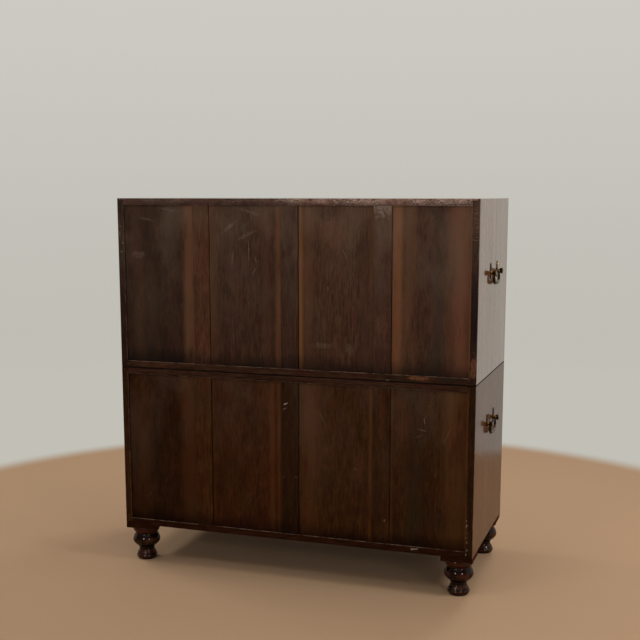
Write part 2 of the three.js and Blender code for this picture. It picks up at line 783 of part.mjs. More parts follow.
const upperTopZ = upperCaseHeight - boardThickness;
const upperShelfTop = upperShelfZ + boardThickness;
const lowerTop = joined([
  caseBoard(lowerCaseHeight - boardThickness, true),
  ...pegs(lowerCaseHeight, pegRadius, pegHeight, joinOverlap),
]);
const upperBottom = cutFrom(
  caseBoard(0, false),
  pegs(0, pegRadius + pivotGap, pegHeight + 2 * pivotGap, cutOverrun),
);
const upperTop = cutFrom(caseBoard(upperTopZ, true), [dividerHousing(upperTopZ, 1)]);
const upperShelf = cutFrom(shelfSolid(upperShelfZ), [dividerHousing(upperShelfTop, -1)]);
addCase(lowerCase, 'lower', lowerCaseHeight, lowerShelfZ, lowerTop, lowerBottomSolid(), shelfSolid(lowerShelfZ));
addCase(upperCase, 'upper', upperCaseHeight, upperShelfZ, upperTop, upperBottom, upperShelf);
upperCase.add(meshOf('upper_drawer_divider', dividerSolid(upperShelfTop, upperTopZ), mahogany));

// Drawers, each with its flush handles
function addDrawer(group, name, centreX, seatZ, openingWidth, openingHeight, handleXs) {
  const drawer = new THREE.Group();
  drawer.position.set(centreX, frontPlane, seatZ);
  drawer.add(meshOf(`${name}_front`, drawerFront(openingWidth, openingHeight, handleXs), mahogany));
  drawer.add(meshOf(`${name}_box`, drawerBox(openingWidth, openingHeight), liningWood));
  handleXs.forEach((x, i) => {
    const suffix = handleXs.length > 1 ? ['left', 'right'][i] : 'middle';
    const bail = meshOf(`${name}_bail_${suffix}`, flushBailSolid(), brass);
    bail.position.set(x, flushAxisDepth, frontMiddleZ(openingHeight) + flushAxisRise);
    drawer.add(bail);
  });
  group.add(drawer);
}

const longHandleX = longHandleShare * chestWidth;
const shortOpeningWidth = (innerWidth - boardThickness) / 2;
const shortCentreX = (shortOpeningWidth + boardThickness) / 2;
const longHandles = [-longHandleX, longHandleX];
const lowerShelfTop = lowerShelfZ + boardThickness;
const lowestOpening = lowerShelfZ - boardThickness;
const upperLongOpening = upperShelfZ - boardThickness;
addDrawer(lowerCase, 'bottom_drawer', 0, boardThickness, innerWidth, lowestOpening, longHandles);
addDrawer(lowerCase, 'third_drawer', 0, lowerShelfTop, innerWidth, lowerCaseTopOpening, longHandles);
addDrawer(upperCase, 'second_drawer', 0, boardThickness, innerWidth, upperLongOpening, longHandles);
addDrawer(upperCase, 'top_left_drawer', -shortCentreX, upperShelfTop, shortOpeningWidth, shortDrawerOpening, [0]);
addDrawer(upperCase, 'top_right_drawer', shortCentreX, upperShelfTop, shortOpeningWidth, shortDrawerOpening, [0]);

// Carrying handles, one on each side of each case
function addCarryHandle(group, name, side, height) {
  const handle = new THREE.Group();
  handle.position.set(side * (chestWidth / 2 + seatGap), 0, height);
  handle.rotation.z = (side * Math.PI) / 2;
  ['near', 'far'].forEach((place, i) => {
    const mount = meshOf(`${name}_mount_${place}`, carryMountSolid(), brass);
    mount.position.x = (i === 0 ? -mountSpacing : mountSpacing) / 2;
    handle.add(mount);
  });
  const bail = meshOf(`${name}_bail`, carryBailSolid(), brass);
  bail.position.y = -carryAxisReach;
  handle.add(bail);
  group.add(handle);
}

addCarryHandle(lowerCase, 'lower_left_carry', -1, lowerHandleHeight);
addCarryHandle(lowerCase, 'lower_right_carry', 1, lowerHandleHeight);
addCarryHandle(upperCase, 'upper_left_carry', -1, upperHandleHeight);
addCarryHandle(upperCase, 'upper_right_carry', 1, upperHandleHeight);

// Feet
const footNames = ['front_left_foot', 'front_right_foot', 'back_left_foot', 'back_right_foot'];
cornerSigns.forEach(([sx, sy], i) => {
  const foot = meshOf(footNames[i], footSolid(), turnedWood);
  foot.position.set(sx * footCentreX, sy * footCentreY, 0);
  chest.add(foot);
});

export default chest;
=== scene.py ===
"""Campaign chest: the finish of its boards, brass and feet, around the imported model. Metres, +Z up.

The drawers open towards -Y. The panelled backs face +Y, and the camera sees them from there.
"""
import json
import math

import bpy
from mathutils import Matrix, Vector


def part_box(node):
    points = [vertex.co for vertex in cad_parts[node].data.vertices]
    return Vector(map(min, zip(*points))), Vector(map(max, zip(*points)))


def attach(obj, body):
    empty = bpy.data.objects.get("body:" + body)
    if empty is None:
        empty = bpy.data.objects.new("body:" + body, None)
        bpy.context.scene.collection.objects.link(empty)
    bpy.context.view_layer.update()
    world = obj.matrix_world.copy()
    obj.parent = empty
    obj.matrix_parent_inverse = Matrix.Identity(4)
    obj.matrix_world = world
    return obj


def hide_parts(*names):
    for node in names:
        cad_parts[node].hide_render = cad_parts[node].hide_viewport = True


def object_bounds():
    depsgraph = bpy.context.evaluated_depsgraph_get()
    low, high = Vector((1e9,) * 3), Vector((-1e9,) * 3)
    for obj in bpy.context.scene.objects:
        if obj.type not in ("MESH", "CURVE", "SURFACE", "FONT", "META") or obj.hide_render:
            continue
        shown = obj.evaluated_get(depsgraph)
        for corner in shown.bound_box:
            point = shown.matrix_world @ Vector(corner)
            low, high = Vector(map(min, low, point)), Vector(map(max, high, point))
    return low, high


MM = 0.001

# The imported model
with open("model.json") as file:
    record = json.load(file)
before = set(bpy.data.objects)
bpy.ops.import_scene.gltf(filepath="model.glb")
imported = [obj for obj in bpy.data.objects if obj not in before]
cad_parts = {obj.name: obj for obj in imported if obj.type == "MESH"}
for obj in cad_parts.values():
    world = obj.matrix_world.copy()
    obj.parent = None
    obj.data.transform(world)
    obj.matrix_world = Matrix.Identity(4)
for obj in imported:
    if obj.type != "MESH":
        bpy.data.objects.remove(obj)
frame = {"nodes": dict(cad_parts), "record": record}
nodes = frame["nodes"]
cad_low, cad_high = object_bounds()
body_of_node = {n: body for body, names in frame["record"]["behaviour"]["bodies"].items() for n in names}
back_plane = cad_high.y
case_half_width = -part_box("upper_left_side")[0].x


# Short calls for materials

# How far apart two seeds lie in a pattern, on X, Y and Z
SEED_STEPS = (3.7, 1.9, 5.3)
# How much a mark's edge frays, as a share of its size, and the fraying's repeats per metre
FRAY_SHARE = 0.7
FRAY_REPEATS = (170.0, 170.0, 90.0)


def tone(code):
    """A colour written as #rrggbb, in the linear values that the nodes take."""
    shares = [int(code[i:i + 2], 16) / 255 for i in (1, 3, 5)]
    linear = [c / 12.92 if c <= 0.04045 else ((c + 0.055) / 1.055) ** 2.4 for c in shares]
    return (*linear, 1.0)


def shade(code, share):
    """The same colour, darker or lighter by a share of its light."""
    return (*[c * share for c in tone(code)[:3]], 1.0)


def stretch(axis, across, along):
    """Repeats per metre on X, Y and Z for a pattern drawn out along the named axis."""
    return tuple(along if name == axis else across for name in "xyz")


class Finish:
    """One material. Its patterns are laid in object space, so they move with the piece."""

    def __init__(self, name):
        self.material = bpy.data.materials.new(name)
        self.material.use_nodes = True
        self.tree = self.material.node_tree
        self.shader = next(n for n in self.tree.nodes if n.type == "BSDF_PRINCIPLED")
        self.place = self.tree.nodes.new("ShaderNodeTexCoord").outputs["Object"]
        self.x, self.y, self.z = self.node("ShaderNodeSeparateXYZ", {0: self.place}).outputs

    def node(self, kind, inputs, **settings):
        node = self.tree.nodes.new(kind)
        for name, value in settings.items():
            setattr(node, name, value)
        for key, value in inputs.items():
            self.feed(node.inputs[key], value)
        return node

    def feed(self, socket, value):
        """Links a socket to another one, or sets it to a plain value or to a colour written as #rrggbb."""
        if isinstance(value, bpy.types.NodeSocket):
            self.tree.links.new(value, socket)
        else:
            socket.default_value = tone(value) if isinstance(value, str) else value

    def math(self, operation, a, b=0.0, c=0.0):
        return self.node("ShaderNodeMath", {0: a, 1: b, 2: c}, operation=operation).outputs[0]

    def times(self, a, b):
        return self.math("MULTIPLY", a, b)

    def larger(self, a, b):
        return self.math("MAXIMUM", a, b)

    def scaled(self, value, factor, start):
        """The value times a factor, added to a start."""
        return self.math("MULTIPLY_ADD", value, factor, start)

    def length(self, vector):
        return self.node("ShaderNodeVectorMath", {0: vector}, operation="LENGTH").outputs["Value"]

    def step(self, value, low, high):
        """0 below low, 1 above high, smooth between. It falls where low is the larger."""
        inputs = {"Value": value, "From Min": low, "From Max": high}
        return self.node("ShaderNodeMapRange", inputs, interpolation_type="SMOOTHSTEP").outputs[0]

    def between(self, value, low, high, soft):
        """1 between low and high, with soft ends."""
        rise = self.step(value, low - soft, low + soft)
        fall = self.step(value, high + soft, high - soft)
        return self.times(rise, fall)

    def noise(self, repeats, seed, detail=2.0, roughness=0.5, distortion=0.0):
        mapping = {"Vector": self.place, "Location": [seed * step for step in SEED_STEPS], "Scale": repeats}
        vector = self.node("ShaderNodeMapping", mapping).outputs[0]
        inputs = {"Vector": vector, "Scale": 1.0, "Detail": detail, "Roughness": roughness}
        inputs["Distortion"] = distortion
        return self.node("ShaderNodeTexNoise", inputs).outputs[0]

    def mix(self, share, a, b, blend="MIX"):
        inputs = {0: share, 6: a, 7: b}
        return self.node("ShaderNodeMix", inputs, data_type="RGBA", blend_type=blend).outputs[2]

    def blend(self, share, a, b):
        """The same for plain numbers."""
        return self.node("ShaderNodeMix", {0: share, 2: a, 3: b}, data_type="FLOAT").outputs[0]

    def tint(self, colour, film):
        """The colour as it looks through a film of another one."""
        return self.mix(1.0, colour, film, "MULTIPLY")

    def laid(self, place, size, turn):
        """Object space as seen from a place on an upright face, in units of a size, turned by degrees."""
        inputs = {"Vector": self.place, "Location": place, "Scale": size}
        inputs["Rotation"] = (0.0, math.radians(turn), 0.0)
        return self.node("ShaderNodeMapping", inputs, vector_type="TEXTURE").outputs[0]

    def spot(self, x, z, half_width, half_height, seed, turn=0.0):
        """A soft oval mark on an upright face, frayed at its edge. It reaches right through the board."""
        through = 10.0
        distance = self.length(self.laid((x, 0.0, z), (half_width, through, half_height), turn))
        fray = self.noise(FRAY_REPEATS, seed, detail=3.0)
        frayed = self.math("ADD", distance, self.scaled(fray, FRAY_SHARE * 2, -FRAY_SHARE))
        return self.step(frayed, 1.0, 0.35)

    def bump(self, height, distance, strength=1.0, under=None):
        inputs = {"Height": height, "Distance": distance, "Strength": strength}
        if under is not None:
            inputs["Normal"] = under
        return self.node("ShaderNodeBump", inputs).outputs[0]

    def finish(self, **sockets):
        """Feeds the shader's sockets, named with underscores for spaces."""
        for name, value in sockets.items():
            self.feed(self.shader.inputs[name.replace("_", " ")], value)
        return self.material


# Wood

# Repeats per metre of the grain's patterns, across it and along it
BROAD_TONE = (9.0, 1.3)
STREAKS = (95.0, 3.0)
FIBRES = (560.0, 22.0)
FIGURE = (75.0, 32.0)
PORES = (1300.0, 70.0)
# How much darker and lighter than its own tone a board gets
DARK_SHARE = 0.34
PALE_SHARE = 0.36
# How deep the grain's relief and the brush waves in the polish are
GRAIN_DEPTH = 0.3 * MM
WAVE_DEPTH = 0.9 * MM

# Films over the wood
FIGURE_FILM = "#dccfc8"
FIBRE_FILM = "#b5a59a"
PORE_FILM = "#6a5a52"
RED_FILM = "#ffe4de"
OLIVE_FILM = "#e2f4d2"
# Darkens the foot of each back board
FOOT_DARK_FILM = "#756a60"
BARE_FILM = "#b59c86"
HIDDEN_FILM = "#a89080"

# Tones of the marks of wear
ORANGE = "#643d26"
# Pale scuffs, also used for the painted highlight along worn arrises
SCUFF_AND_HIGHLIGHT = "#8a7a68"
CHALK = "#c4b8ac"
BLACKENED = "#17110d"
# A painted shadow: the near black of shade in the gaps beside the recessed panels and between the cases
GAP_SHADE = "#0b0604"
# Grey bloom of age, which also stands for a painted sheen of the light from above
BLOOM_AND_SHEEN = "#5c4a3c"
SCRATCH = "#8f735a"


def grained(f, axis, seed, code, depth=1.0, pore_share=0.5):
    """Colour, height and streaks of a board, from its broad tone, fibres, figure across them, and pores."""
    broad = f.noise(stretch(axis, *BROAD_TONE), seed, detail=3.0, distortion=0.6)
    streaks = f.noise(stretch(axis, *STREAKS), seed + 1, detail=6.0, roughness=0.7, distortion=0.3)
    fibres = f.noise(stretch(axis, *FIBRES), seed + 2, detail=3.0, roughness=0.7)
    figure = f.noise(stretch(axis, *FIGURE), seed + 4, detail=5.0, roughness=0.7)
    pores = f.step(f.noise(stretch(axis, *PORES), seed + 3, detail=1.0), 0.58, 0.7)
    share = f.step(f.blend(0.5, broad, streaks), 0.3, 0.7)
    colour = f.mix(share, shade(code, 1 - DARK_SHARE * depth), shade(code, 1 + PALE_SHARE * depth))
    colour = f.mix(f.step(figure, 0.36, 0.64), f.tint(colour, FIGURE_FILM), colour)
    colour = f.mix(f.step(fibres, 0.36, 0.66), colour, f.tint(colour, FIBRE_FILM))
    colour = f.mix(f.times(pores, pore_share), colour, f.tint(colour, PORE_FILM))
    pore_sink = -0.8
    height = f.scaled(pores, pore_sink, f.blend(0.35, fibres, streaks))
    return colour, height, streaks


def add_mottle(f, colour, seed, strength):
    """Patches where the stain has turned redder, and others where it has gone olive."""
    patches = f.noise((13.0, 13.0, 8.0), seed + 8, detail=5.0, roughness=0.6)
    red = f.tint(colour, RED_FILM)
    olive = f.tint(colour, OLIVE_FILM)
    return f.mix(strength, colour, f.mix(f.step(patches, 0.42, 0.58), olive, red))


def add_bloom_and_sheen(f, colour, seed, strength, low, high):
    """The grey film of age on wood that was never polished, in patches, with a painted sheen of the light
    from above, so it thickens towards the top.
    """
    patches = f.noise((9.0, 9.0, 4.0), seed + 11, detail=5.0, roughness=0.65)
    rise = f.step(f.z, low, high)
    share = f.times(f.step(patches, 0.35, 0.7), f.times(rise, strength))
    return f.mix(share, colour, BLOOM_AND_SHEEN)


def add_strips(f, colour, strips, seed, low, high):
    """Upright strips: from x to x, soft at their sides by so much, in a tone, and how strong low and high."""
    for i, (x0, x1, soft, code, low_strength, high_strength) in enumerate(strips):
        across = f.between(f.x, min(x0, x1), max(x0, x1), soft)
        inputs = {"Value": f.z, "From Min": low, "From Max": high}
        inputs |= {"To Min": low_strength, "To Max": high_strength}
        upright = f.node("ShaderNodeMapRange", inputs).outputs[0]
        uneven = f.step(f.noise((40.0, 40.0, 6.0), seed + 20 + i, detail=5.0, roughness=0.6), 0.2, 0.55)
        colour = f.mix(f.times(f.times(across, upright), uneven), colour, code)
    return colour


def add_scratches(f, colour, seed, strength):
    """Fine pale scratches at two slants, gathered in patches."""
    thin, through, long = 1.6 * MM, 30 * MM, 42 * MM
    for i, slant in enumerate((18, -31)):
        turned = f.laid((seed * 0.37, 0.0, i * 0.61), (thin, through, long), slant)
        waved = {"Vector": turned, "Scale": 1.0, "Detail": 2.0, "Distortion": 0.9}
        lines = f.step(f.node("ShaderNodeTexNoise", waved).outputs[0], 0.58, 0.76)
        patches = f.step(f.noise((14.0, 14.0, 9.0), seed + 13 + i, detail=5.0), 0.5, 0.72)
        share = f.times(f.times(lines, patches), strength)
        colour = f.mix(share, colour, SCRATCH)
    return colour


def flecks(f, seed, repeats):
    """Small ragged patches, thick in some places and missing in others."""
    fine = f.step(f.noise(repeats, seed, detail=6.0, roughness=0.78), 0.48, 0.6)
    gathered = f.step(f.noise((22.0, 22.0, 22.0), seed + 1, detail=2.0), 0.35, 0.6)
    return f.times(fine, gathered)


def add_marks(f, colour, marks, seed):
    """Smudges, scuffs and specks: place and half sizes in mm, tone, strength and turn of each."""
    crumbs = f.step(f.noise((260.0, 260.0, 200.0), seed + 39, detail=5.0, roughness=0.75), 0.42, 0.58)
    broken = f.scaled(crumbs, 0.7, 0.3)
    for i, (x, z, half_width, half_height, code, strength, *turn) in enumerate(marks):
        spot = f.spot(x * MM, z * MM, half_width * MM, half_height * MM, seed + 40 + i, *turn)
        colour = f.mix(f.times(f.times(spot, broken), strength), colour, code)
    return colour


def darken_towards_foot(f, colour, foot, reach, strength):
    """Darker towards the foot of a board."""
    uneven = f.noise((16.0, 16.0, 16.0), 3, detail=4.0)
    rise = f.scaled(uneven, reach, foot)
    share = f.step(f.z, rise, foot)
    return f.mix(f.times(share, strength), colour, f.tint(colour, FOOT_DARK_FILM))


def dress(name, material):
    nodes[name].material_slots[0].material = material


def ease_edges(name, width, segments=2):
    """Takes the sharpness off a board's arrises."""
    piece = nodes[name]
    weld = piece.modifiers.new("weld", "WELD")
    weld.merge_threshold = 0.01 * MM
    bevel = piece.modifiers.new("arris", "BEVEL")
    bevel.width = width
    bevel.segments = segments
    bevel.limit_method = "ANGLE"
    bevel.angle_limit = math.radians(40)
    bevel.use_clamp_overlap = False
    normals = piece.modifiers.new("even faces", "WEIGHTED_NORMAL")
    normals.keep_sharp = False


# The backs: every panel and muntin has a board of its own. Each list runs from -X to +X.

# Each panel: its tone, strips in mm from the photo's left and from its right (start, width, softness, tone,
# strength low and high), and marks in mm (x, z, half width, half height, tone, strength, degrees turned)
UPPER_PANELS = [
    ("#422b1c",
     [(-9, 36, 7, ORANGE, 0.6, 0.95), (30, 30, 12, "#4e3120", 0.5, 0.6),
      (98, 38, 18, "#2d2118", 0.75, 0.75)],
     [(-4, 7, 1.5, "#734722", 0.7, 0.9), (0, 50, 26, "#563422", 0.7, 0.9)],
     []),
    ("#432b1c",
     [(-8, 20, 6, "#613d20", 0.9, 0.9), (14, 26, 10, "#4a2c1c", 0.4, 0.6)],
     [(-8, 18, 7, "#4c3120", 0.2, 0.8), (14, 20, 10, "#3b281a", 0.4, 0.3)],
     [(-98, 976, 22, 20, BLACKENED, 0.45), (-88, 642, 30, 10, SCUFF_AND_HIGHLIGHT, 0.1),
      (-164, 633, 14, 26, SCUFF_AND_HIGHLIGHT, 0.08, 20), (-120, 930, 60, 50, "#5f382a", 0.2),
      (-150, 880, 2, 20, SCUFF_AND_HIGHLIGHT, 0.2, 25), (-105, 790, 2, 14, SCUFF_AND_HIGHLIGHT, 0.2)]),
    ("#3f2819",
     [(-4, 7, 1.5, "#704422", 0.6, 0.9), (0, 20, 8, "#452a1b", 0.5, 0.5)],
     [(-8, 22, 7, "#553521", 0.8, 0.7), (32, 16, 9, "#422819", 0.5, 0.4)],
     [(114, 884, 1.6, 34, SCUFF_AND_HIGHLIGHT, 0.32), (160, 868, 1.5, 26, SCUFF_AND_HIGHLIGHT, 0.26, -8),
      (95, 862, 1.5, 24, SCUFF_AND_HIGHLIGHT, 0.2, 22), (100, 830, 1.5, 20, SCUFF_AND_HIGHLIGHT, 0.2, -35),
      (170, 945, 35, 6, SCUFF_AND_HIGHLIGHT, 0.16, 40), (120, 925, 40, 6, SCUFF_AND_HIGHLIGHT, 0.12, 24),
      (110, 985, 40, 5, SCUFF_AND_HIGHLIGHT, 0.12, -18)]),
    ("#332014",
     [(22, 30, 14, "#3a2619", 0.5, 0.5), (60, 34, 16, "#291c13", 0.7, 0.6)],
     [(-8, 36, 10, "#533421", 0.9, 0.8), (-2, 4, 1, "#8a5a34", 0.9, 0.3)],
     [(410, 965, 30, 4, SCUFF_AND_HIGHLIGHT, 0.12, -10), (345, 990, 40, 4, SCUFF_AND_HIGHLIGHT, 0.12, -8),
      (435, 870, 30, 12, SCUFF_AND_HIGHLIGHT, 0.12)]),
]
LOWER_PANELS = [
    ("#38200c",
     [(-8, 14, 5, "#46290f", 0.7, 0.7), (44, 44, 22, "#231a0d", 0.6, 0.4)],
     [(-4, 8, 2, "#5a3416", 0.7, 0.8), (4, 54, 20, "#452810", 0.4, 0.9)],
     [(-364, 460, 1.6, 12, SCUFF_AND_HIGHLIGHT, 0.4, 6), (-355, 437, 20, 1.8, SCUFF_AND_HIGHLIGHT, 0.22, -14),
      (-350, 420, 18, 1.6, SCUFF_AND_HIGHLIGHT, 0.14, 25), (-425, 430, 2, 30, SCUFF_AND_HIGHLIGHT, 0.16, -24),
      (-410, 200, 50, 50, "#1b160c", 0.35), (-310, 460, 30, 100, "#48261a", 0.3)]),
    ("#3c230d",
     [(4, 46, 20, "#412610", 0.5, 0.6)],
     [(-8, 16, 5, "#4c2d12", 0.7, 0.7)],
     [(-190, 330, 22, 70, "#4f2a1c", 0.35), (-182, 320, 2.5, 2.5, SCUFF_AND_HIGHLIGHT, 0.5),
      (-55, 460, 35, 80, "#4c2a1c", 0.25), (-90, 450, 2, 30, SCUFF_AND_HIGHLIGHT, 0.14, 28)]),
    ("#3b1f0b",
     [(-8, 14, 5, "#43250f", 0.5, 0.5)],
     [(-2, 4, 1, "#603a1c", 0.7, 0.8), (5, 7, 3, "#4b2c12", 0.5, 0.6), (20, 14, 6, "#432610", 0.6, 0.7)],
     []),
    ("#301906",
     [(18, 40, 16, "#311a08", 0.5, 0.6)],
     [(-8, 50, 16, "#391f0c", 0.7, 0.8), (-2, 4, 1, "#5f4020", 0.8, 0.1)],
     []),
]
PANELS = {"upper": UPPER_PANELS, "lower": LOWER_PANELS}

# Each muntin: its tone, the strength of its grey bloom with painted sheen, and marks of the same form
MUNTINS = {
    "upper": [
        ("#41291d", 0.5, [(-248, 1015, 70, 50, "#8c7a6e", 0.4), (-250, 700, 22, 40, "#553324", 0.35)]),
        ("#3f281c", 0.5, []),
        ("#4c2f1e", 0.3, [(200, 800, 6, 400, "#2d1d13", 0.6)]),
    ],
    "lower": [
        ("#361e0b", 0.2, [(-262, 190, 2.2, 6, SCUFF_AND_HIGHLIGHT, 0.5), (-253, 480, 12, 70, "#4f2a1b", 0.3)]),
        ("#2d1909", 0.1, [(12, 483, 8, 1.6, CHALK, 0.6, 24), (14, 470, 7, 1.4, CHALK, 0.4, 24),
                          (17, 283, 5, 1.4, SCUFF_AND_HIGHLIGHT, 0.3), (-17, 286, 5, 1.4, SCUFF_AND_HIGHLIGHT, 0.3)]),
        ("#42250d", 0.1, []),
    ],
}
# The strength of the bloom, which also paints a sheen from above, strongest on the upper boards
PANEL_BLOOM_AND_SHEEN = {"upper": 0.4, "lower": 0.22}
BACK_SHEEN = {"upper": 0.07, "lower": 0.03}

# How far a panel's tongue reaches behind its neighbours
PANEL_TONGUE = 6.3 * MM


def back_board(name, code, seed, strips, marks, bloom_and_sheen, sheen):
    """Stained and never polished wood, as on the panels and muntins of the backs."""
    f = Finish(name + "_wood")
    low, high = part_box(name)
    colour, height, streaks = grained(f, "z", seed, code, depth=0.54)
    colour = add_strips(f, colour, strips, seed, low.z, high.z)
    colour = add_mottle(f, colour, seed, 0.4)
    # Grey bloom with a painted sheen from above, thicker towards the top
    colour = add_bloom_and_sheen(f, colour, seed, bloom_and_sheen, low.z, high.z)
    colour = add_scratches(f, colour, seed, 0.13)
    colour = add_marks(f, colour, marks, seed)
    # Darker towards the foot of each board
    colour = darken_towards_foot(f, colour, low.z, 0.11, 0.8)
    rough = f.blend(streaks, 0.5, 0.72)
    normal = f.bump(height, GRAIN_DEPTH, 0.5)
    return f.finish(Base_Color=colour, Roughness=rough, Normal=normal, Specular_IOR_Level=sheen)


def panel_strips(name, from_left, from_right):
    """A panel's strips in metres, and a painted shadow along its left edge as the camera sees it, at +X,
    where the muntin shades the recessed panel.
    """
    low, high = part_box(name)
    left, right = high.x - PANEL_TONGUE, low.x + PANEL_TONGUE
    strips = []
    for start, width, soft, *rest in from_left:
        strips.append((left - start * MM, left - (start + width) * MM, soft * MM, *rest))
    for start, width, soft, *rest in from_right:
        strips.append((right + start * MM, right + (start + width) * MM, soft * MM, *rest))
    # A painted shadow along the panel's left edge, where the muntin shades it
    strips.append((left + 1.0 * MM, left - 1.8 * MM, 0.7 * MM, GAP_SHADE, 0.9, 0.9))
    return strips


def make_backs():
    seed = 1
    for case, panels in PANELS.items():
        for k, (code, from_left, from_right, marks) in enumerate(panels, 1):
            name = f"{case}_back_panel_{k}"
            strips = panel_strips(name, from_left, from_right)
            dress(name, back_board(name, code, seed, strips, marks, PANEL_BLOOM_AND_SHEEN[case], BACK_SHEEN[case]))
            seed += 7
    seed = 71
    for case, muntins in MUNTINS.items():
        for k, (code, bloom_and_sheen, marks) in enumerate(muntins, 1):
            name = f"{case}_back_muntin_{k}"
            dress(name, back_board(name, code, seed, (), marks, bloom_and_sheen, BACK_SHEEN[case]))
            ease_edges(name, 0.8 * MM)
            seed += 5


# The cases: boards polished outside, bare inside, and dark and worn on the edges that face the back

MAHOGANY = "#673218"
UPPER_SIDE = "#644027"
LOWER_SIDE = "#56331b"
TOP_BACK = "#33201a"
MIDDLE_BACK = "#392418"
BASE_BACK = "#2c1507"
UPPER_SIDE_BACK = "#2a1a14"
LOWER_SIDE_BACK = "#351f0b"

# Where the bloom and painted sheen on the edges that face the back start and are full, above the floor
EDGE_BLOOM_AND_SHEEN_LOW, EDGE_BLOOM_AND_SHEEN_HIGH = 0.55, 1.05
# How wide the worn lines along a board's long edges are; they also carry a painted highlight of the arris
# catching the light
WORN_LIT_LINE = 2.0 * MM

# Marks in mm on the edges that face the back, in the same form as those on the panels
EDGE_MARKS = {
    "upper_bottom": [
        (-347, 571, 36, 8, "#71492c", 0.6), (-425, 570, 50, 9, "#191512", 0.75),
        (-266, 562, 6, 1.8, CHALK, 0.3)],
    "lower_bottom": [(-346, 121, 14, 2, CHALK, 0.6, 10), (-337, 119, 3, 4, CHALK, 0.5)],
    "upper_right_side": [
        (487, 946, 5, 3, SCUFF_AND_HIGHLIGHT, 0.3), (489, 925, 3, 8, SCUFF_AND_HIGHLIGHT, 0.25),
        (481, 900, 2.2, 3, SCUFF_AND_HIGHLIGHT, 0.6), (486, 876, 5, 4, SCUFF_AND_HIGHLIGHT, 0.25)],
}


def saw_marks():
    """Uneven pale cuts across the upper left side's edge near its top, and stains along it."""
    edge_x, top = -487, 1000
    below_top = (0.0, 6.0, 14.5, 19.0, 27.0, 31.5, 40.0, 47.5, 51.0, 60.0, 73.0, 80.0)
    marks = []
    for k, down in enumerate(below_top):
        x = edge_x + k * 5 % 7 - 3
        half_width = 6 + k * 3 % 5
        half_height = 1.1 + k % 3 * 0.5
        strength = 0.3 + k * 2 % 5 * 0.08
        turn = k * 7 % 19 - 9
        marks.append((x, top - down, half_width, half_height, "#85695a", strength, turn))
    stains = [(-487, 760, 20, 130, "#110b0d", 0.8), (-488, 605, 12, 40, "#6d472d", 0.6),
              (-486, 975, 20, 60, "#46302a", 0.5)]
    return marks + stains


def flaked_marks():
    """Flakes off the lower left side's edge, one below the other."""
    edge_x, top, spacing = -479, 222, 9
    marks = []
    for k in range(12):
        x = edge_x + (k * 3 % 5 - 2) * 0.9
        z = top - k * spacing - (k * 7 % 5) * 1.6
        half_height = 1.2 + k * 5 % 4
        strength = 0.15 + 0.1 * (k % 4)
        turn = k * 17 % 40 - 20
        marks.append((x, z, 1.6, half_height, CHALK, strength, turn))
    return marks


def worn_lit_edge_lines(f, name, across):
    """1 on a thin ragged line along both long edges of a board: wear, and a painted highlight where the arris
    catches the light.
    """
    low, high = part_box(name)
    low, high, value = getattr(low, across), getattr(high, across), getattr(f, across)
    lines = f.larger(f.step(value, low + WORN_LIT_LINE, low), f.step(value, high - WORN_LIT_LINE, high))
    uneven = f.step(f.noise((60.0, 60.0, 60.0), 9, detail=6.0, roughness=0.7), 0.38, 0.62)
    return f.times(lines, uneven)


def worn_and_lit_top_edge(f, colour):
    """Rubbed pale along the top's back edge, most of all past the middle muntin and towards the arris, with
    painted glints where the worn arris catches the light.
    """
    starts, full = 100 * MM, -80 * MM
    past_middle = f.scaled(f.step(f.x, starts, full), 0.55, 0.15)
    upwards = f.scaled(f.step(f.z, cad_high.z - 17 * MM, cad_high.z - 3 * MM), 0.65, 0.35)
    share = f.times(past_middle, upwards)
    rubbed = f.step(f.noise((40.0, 40.0, 90.0), 301, detail=6.0, roughness=0.75), 0.32, 0.6)
    colour = f.mix(f.times(rubbed, share), colour, "#8b6a5a")
    # Pale flecks: chips in the worn arris, and painted glints of light on it
    worn_glints = f.times(flecks(f, 307, (190.0, 190.0, 360.0)), f.times(share, 0.7))
    colour = f.mix(worn_glints, colour, "#c9bab0")
    return f.mix(f.times(flecks(f, 313, (150.0, 150.0, 300.0)), 0.55), colour, "#452c23")


def seam_share(f):
    """1 in the dark line round the outside, where one case stands on the other: painted shade of the gap
    between the cases, with dirt in it.
    """
    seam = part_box("upper_bottom")[0].z
    line = f.between(f.z, seam - 2.0 * MM, seam + 1.5 * MM, 0.5 * MM)
    starts, full = 3.0 * MM, 1.5 * MM
    out_x = f.step(f.math("ABSOLUTE", f.x), case_half_width - starts, case_half_width - full)
    out_y = f.step(f.math("ABSOLUTE", f.y), back_plane - starts, back_plane - full)
    return f.times(line, f.larger(out_x, out_y))


def inside_share(f, name):
    """1 where a board is bare: a side's inner face, a top's under face, a shelf behind its front edge."""
    if name.endswith("_side"):
        face = f.step(f.math("ABSOLUTE", f.x), case_half_width - 16 * MM, case_half_width - 17.5 * MM)
    elif name.endswith("_top"):
        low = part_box(name)[0].z
        face = f.step(f.z, low + 1.2 * MM, low + 0.6 * MM)
    else:
        face = f.step(f.y, cad_low.y + 22 * MM, cad_low.y + 26 * MM)
    return f.step(face, 0.2, 0.8)


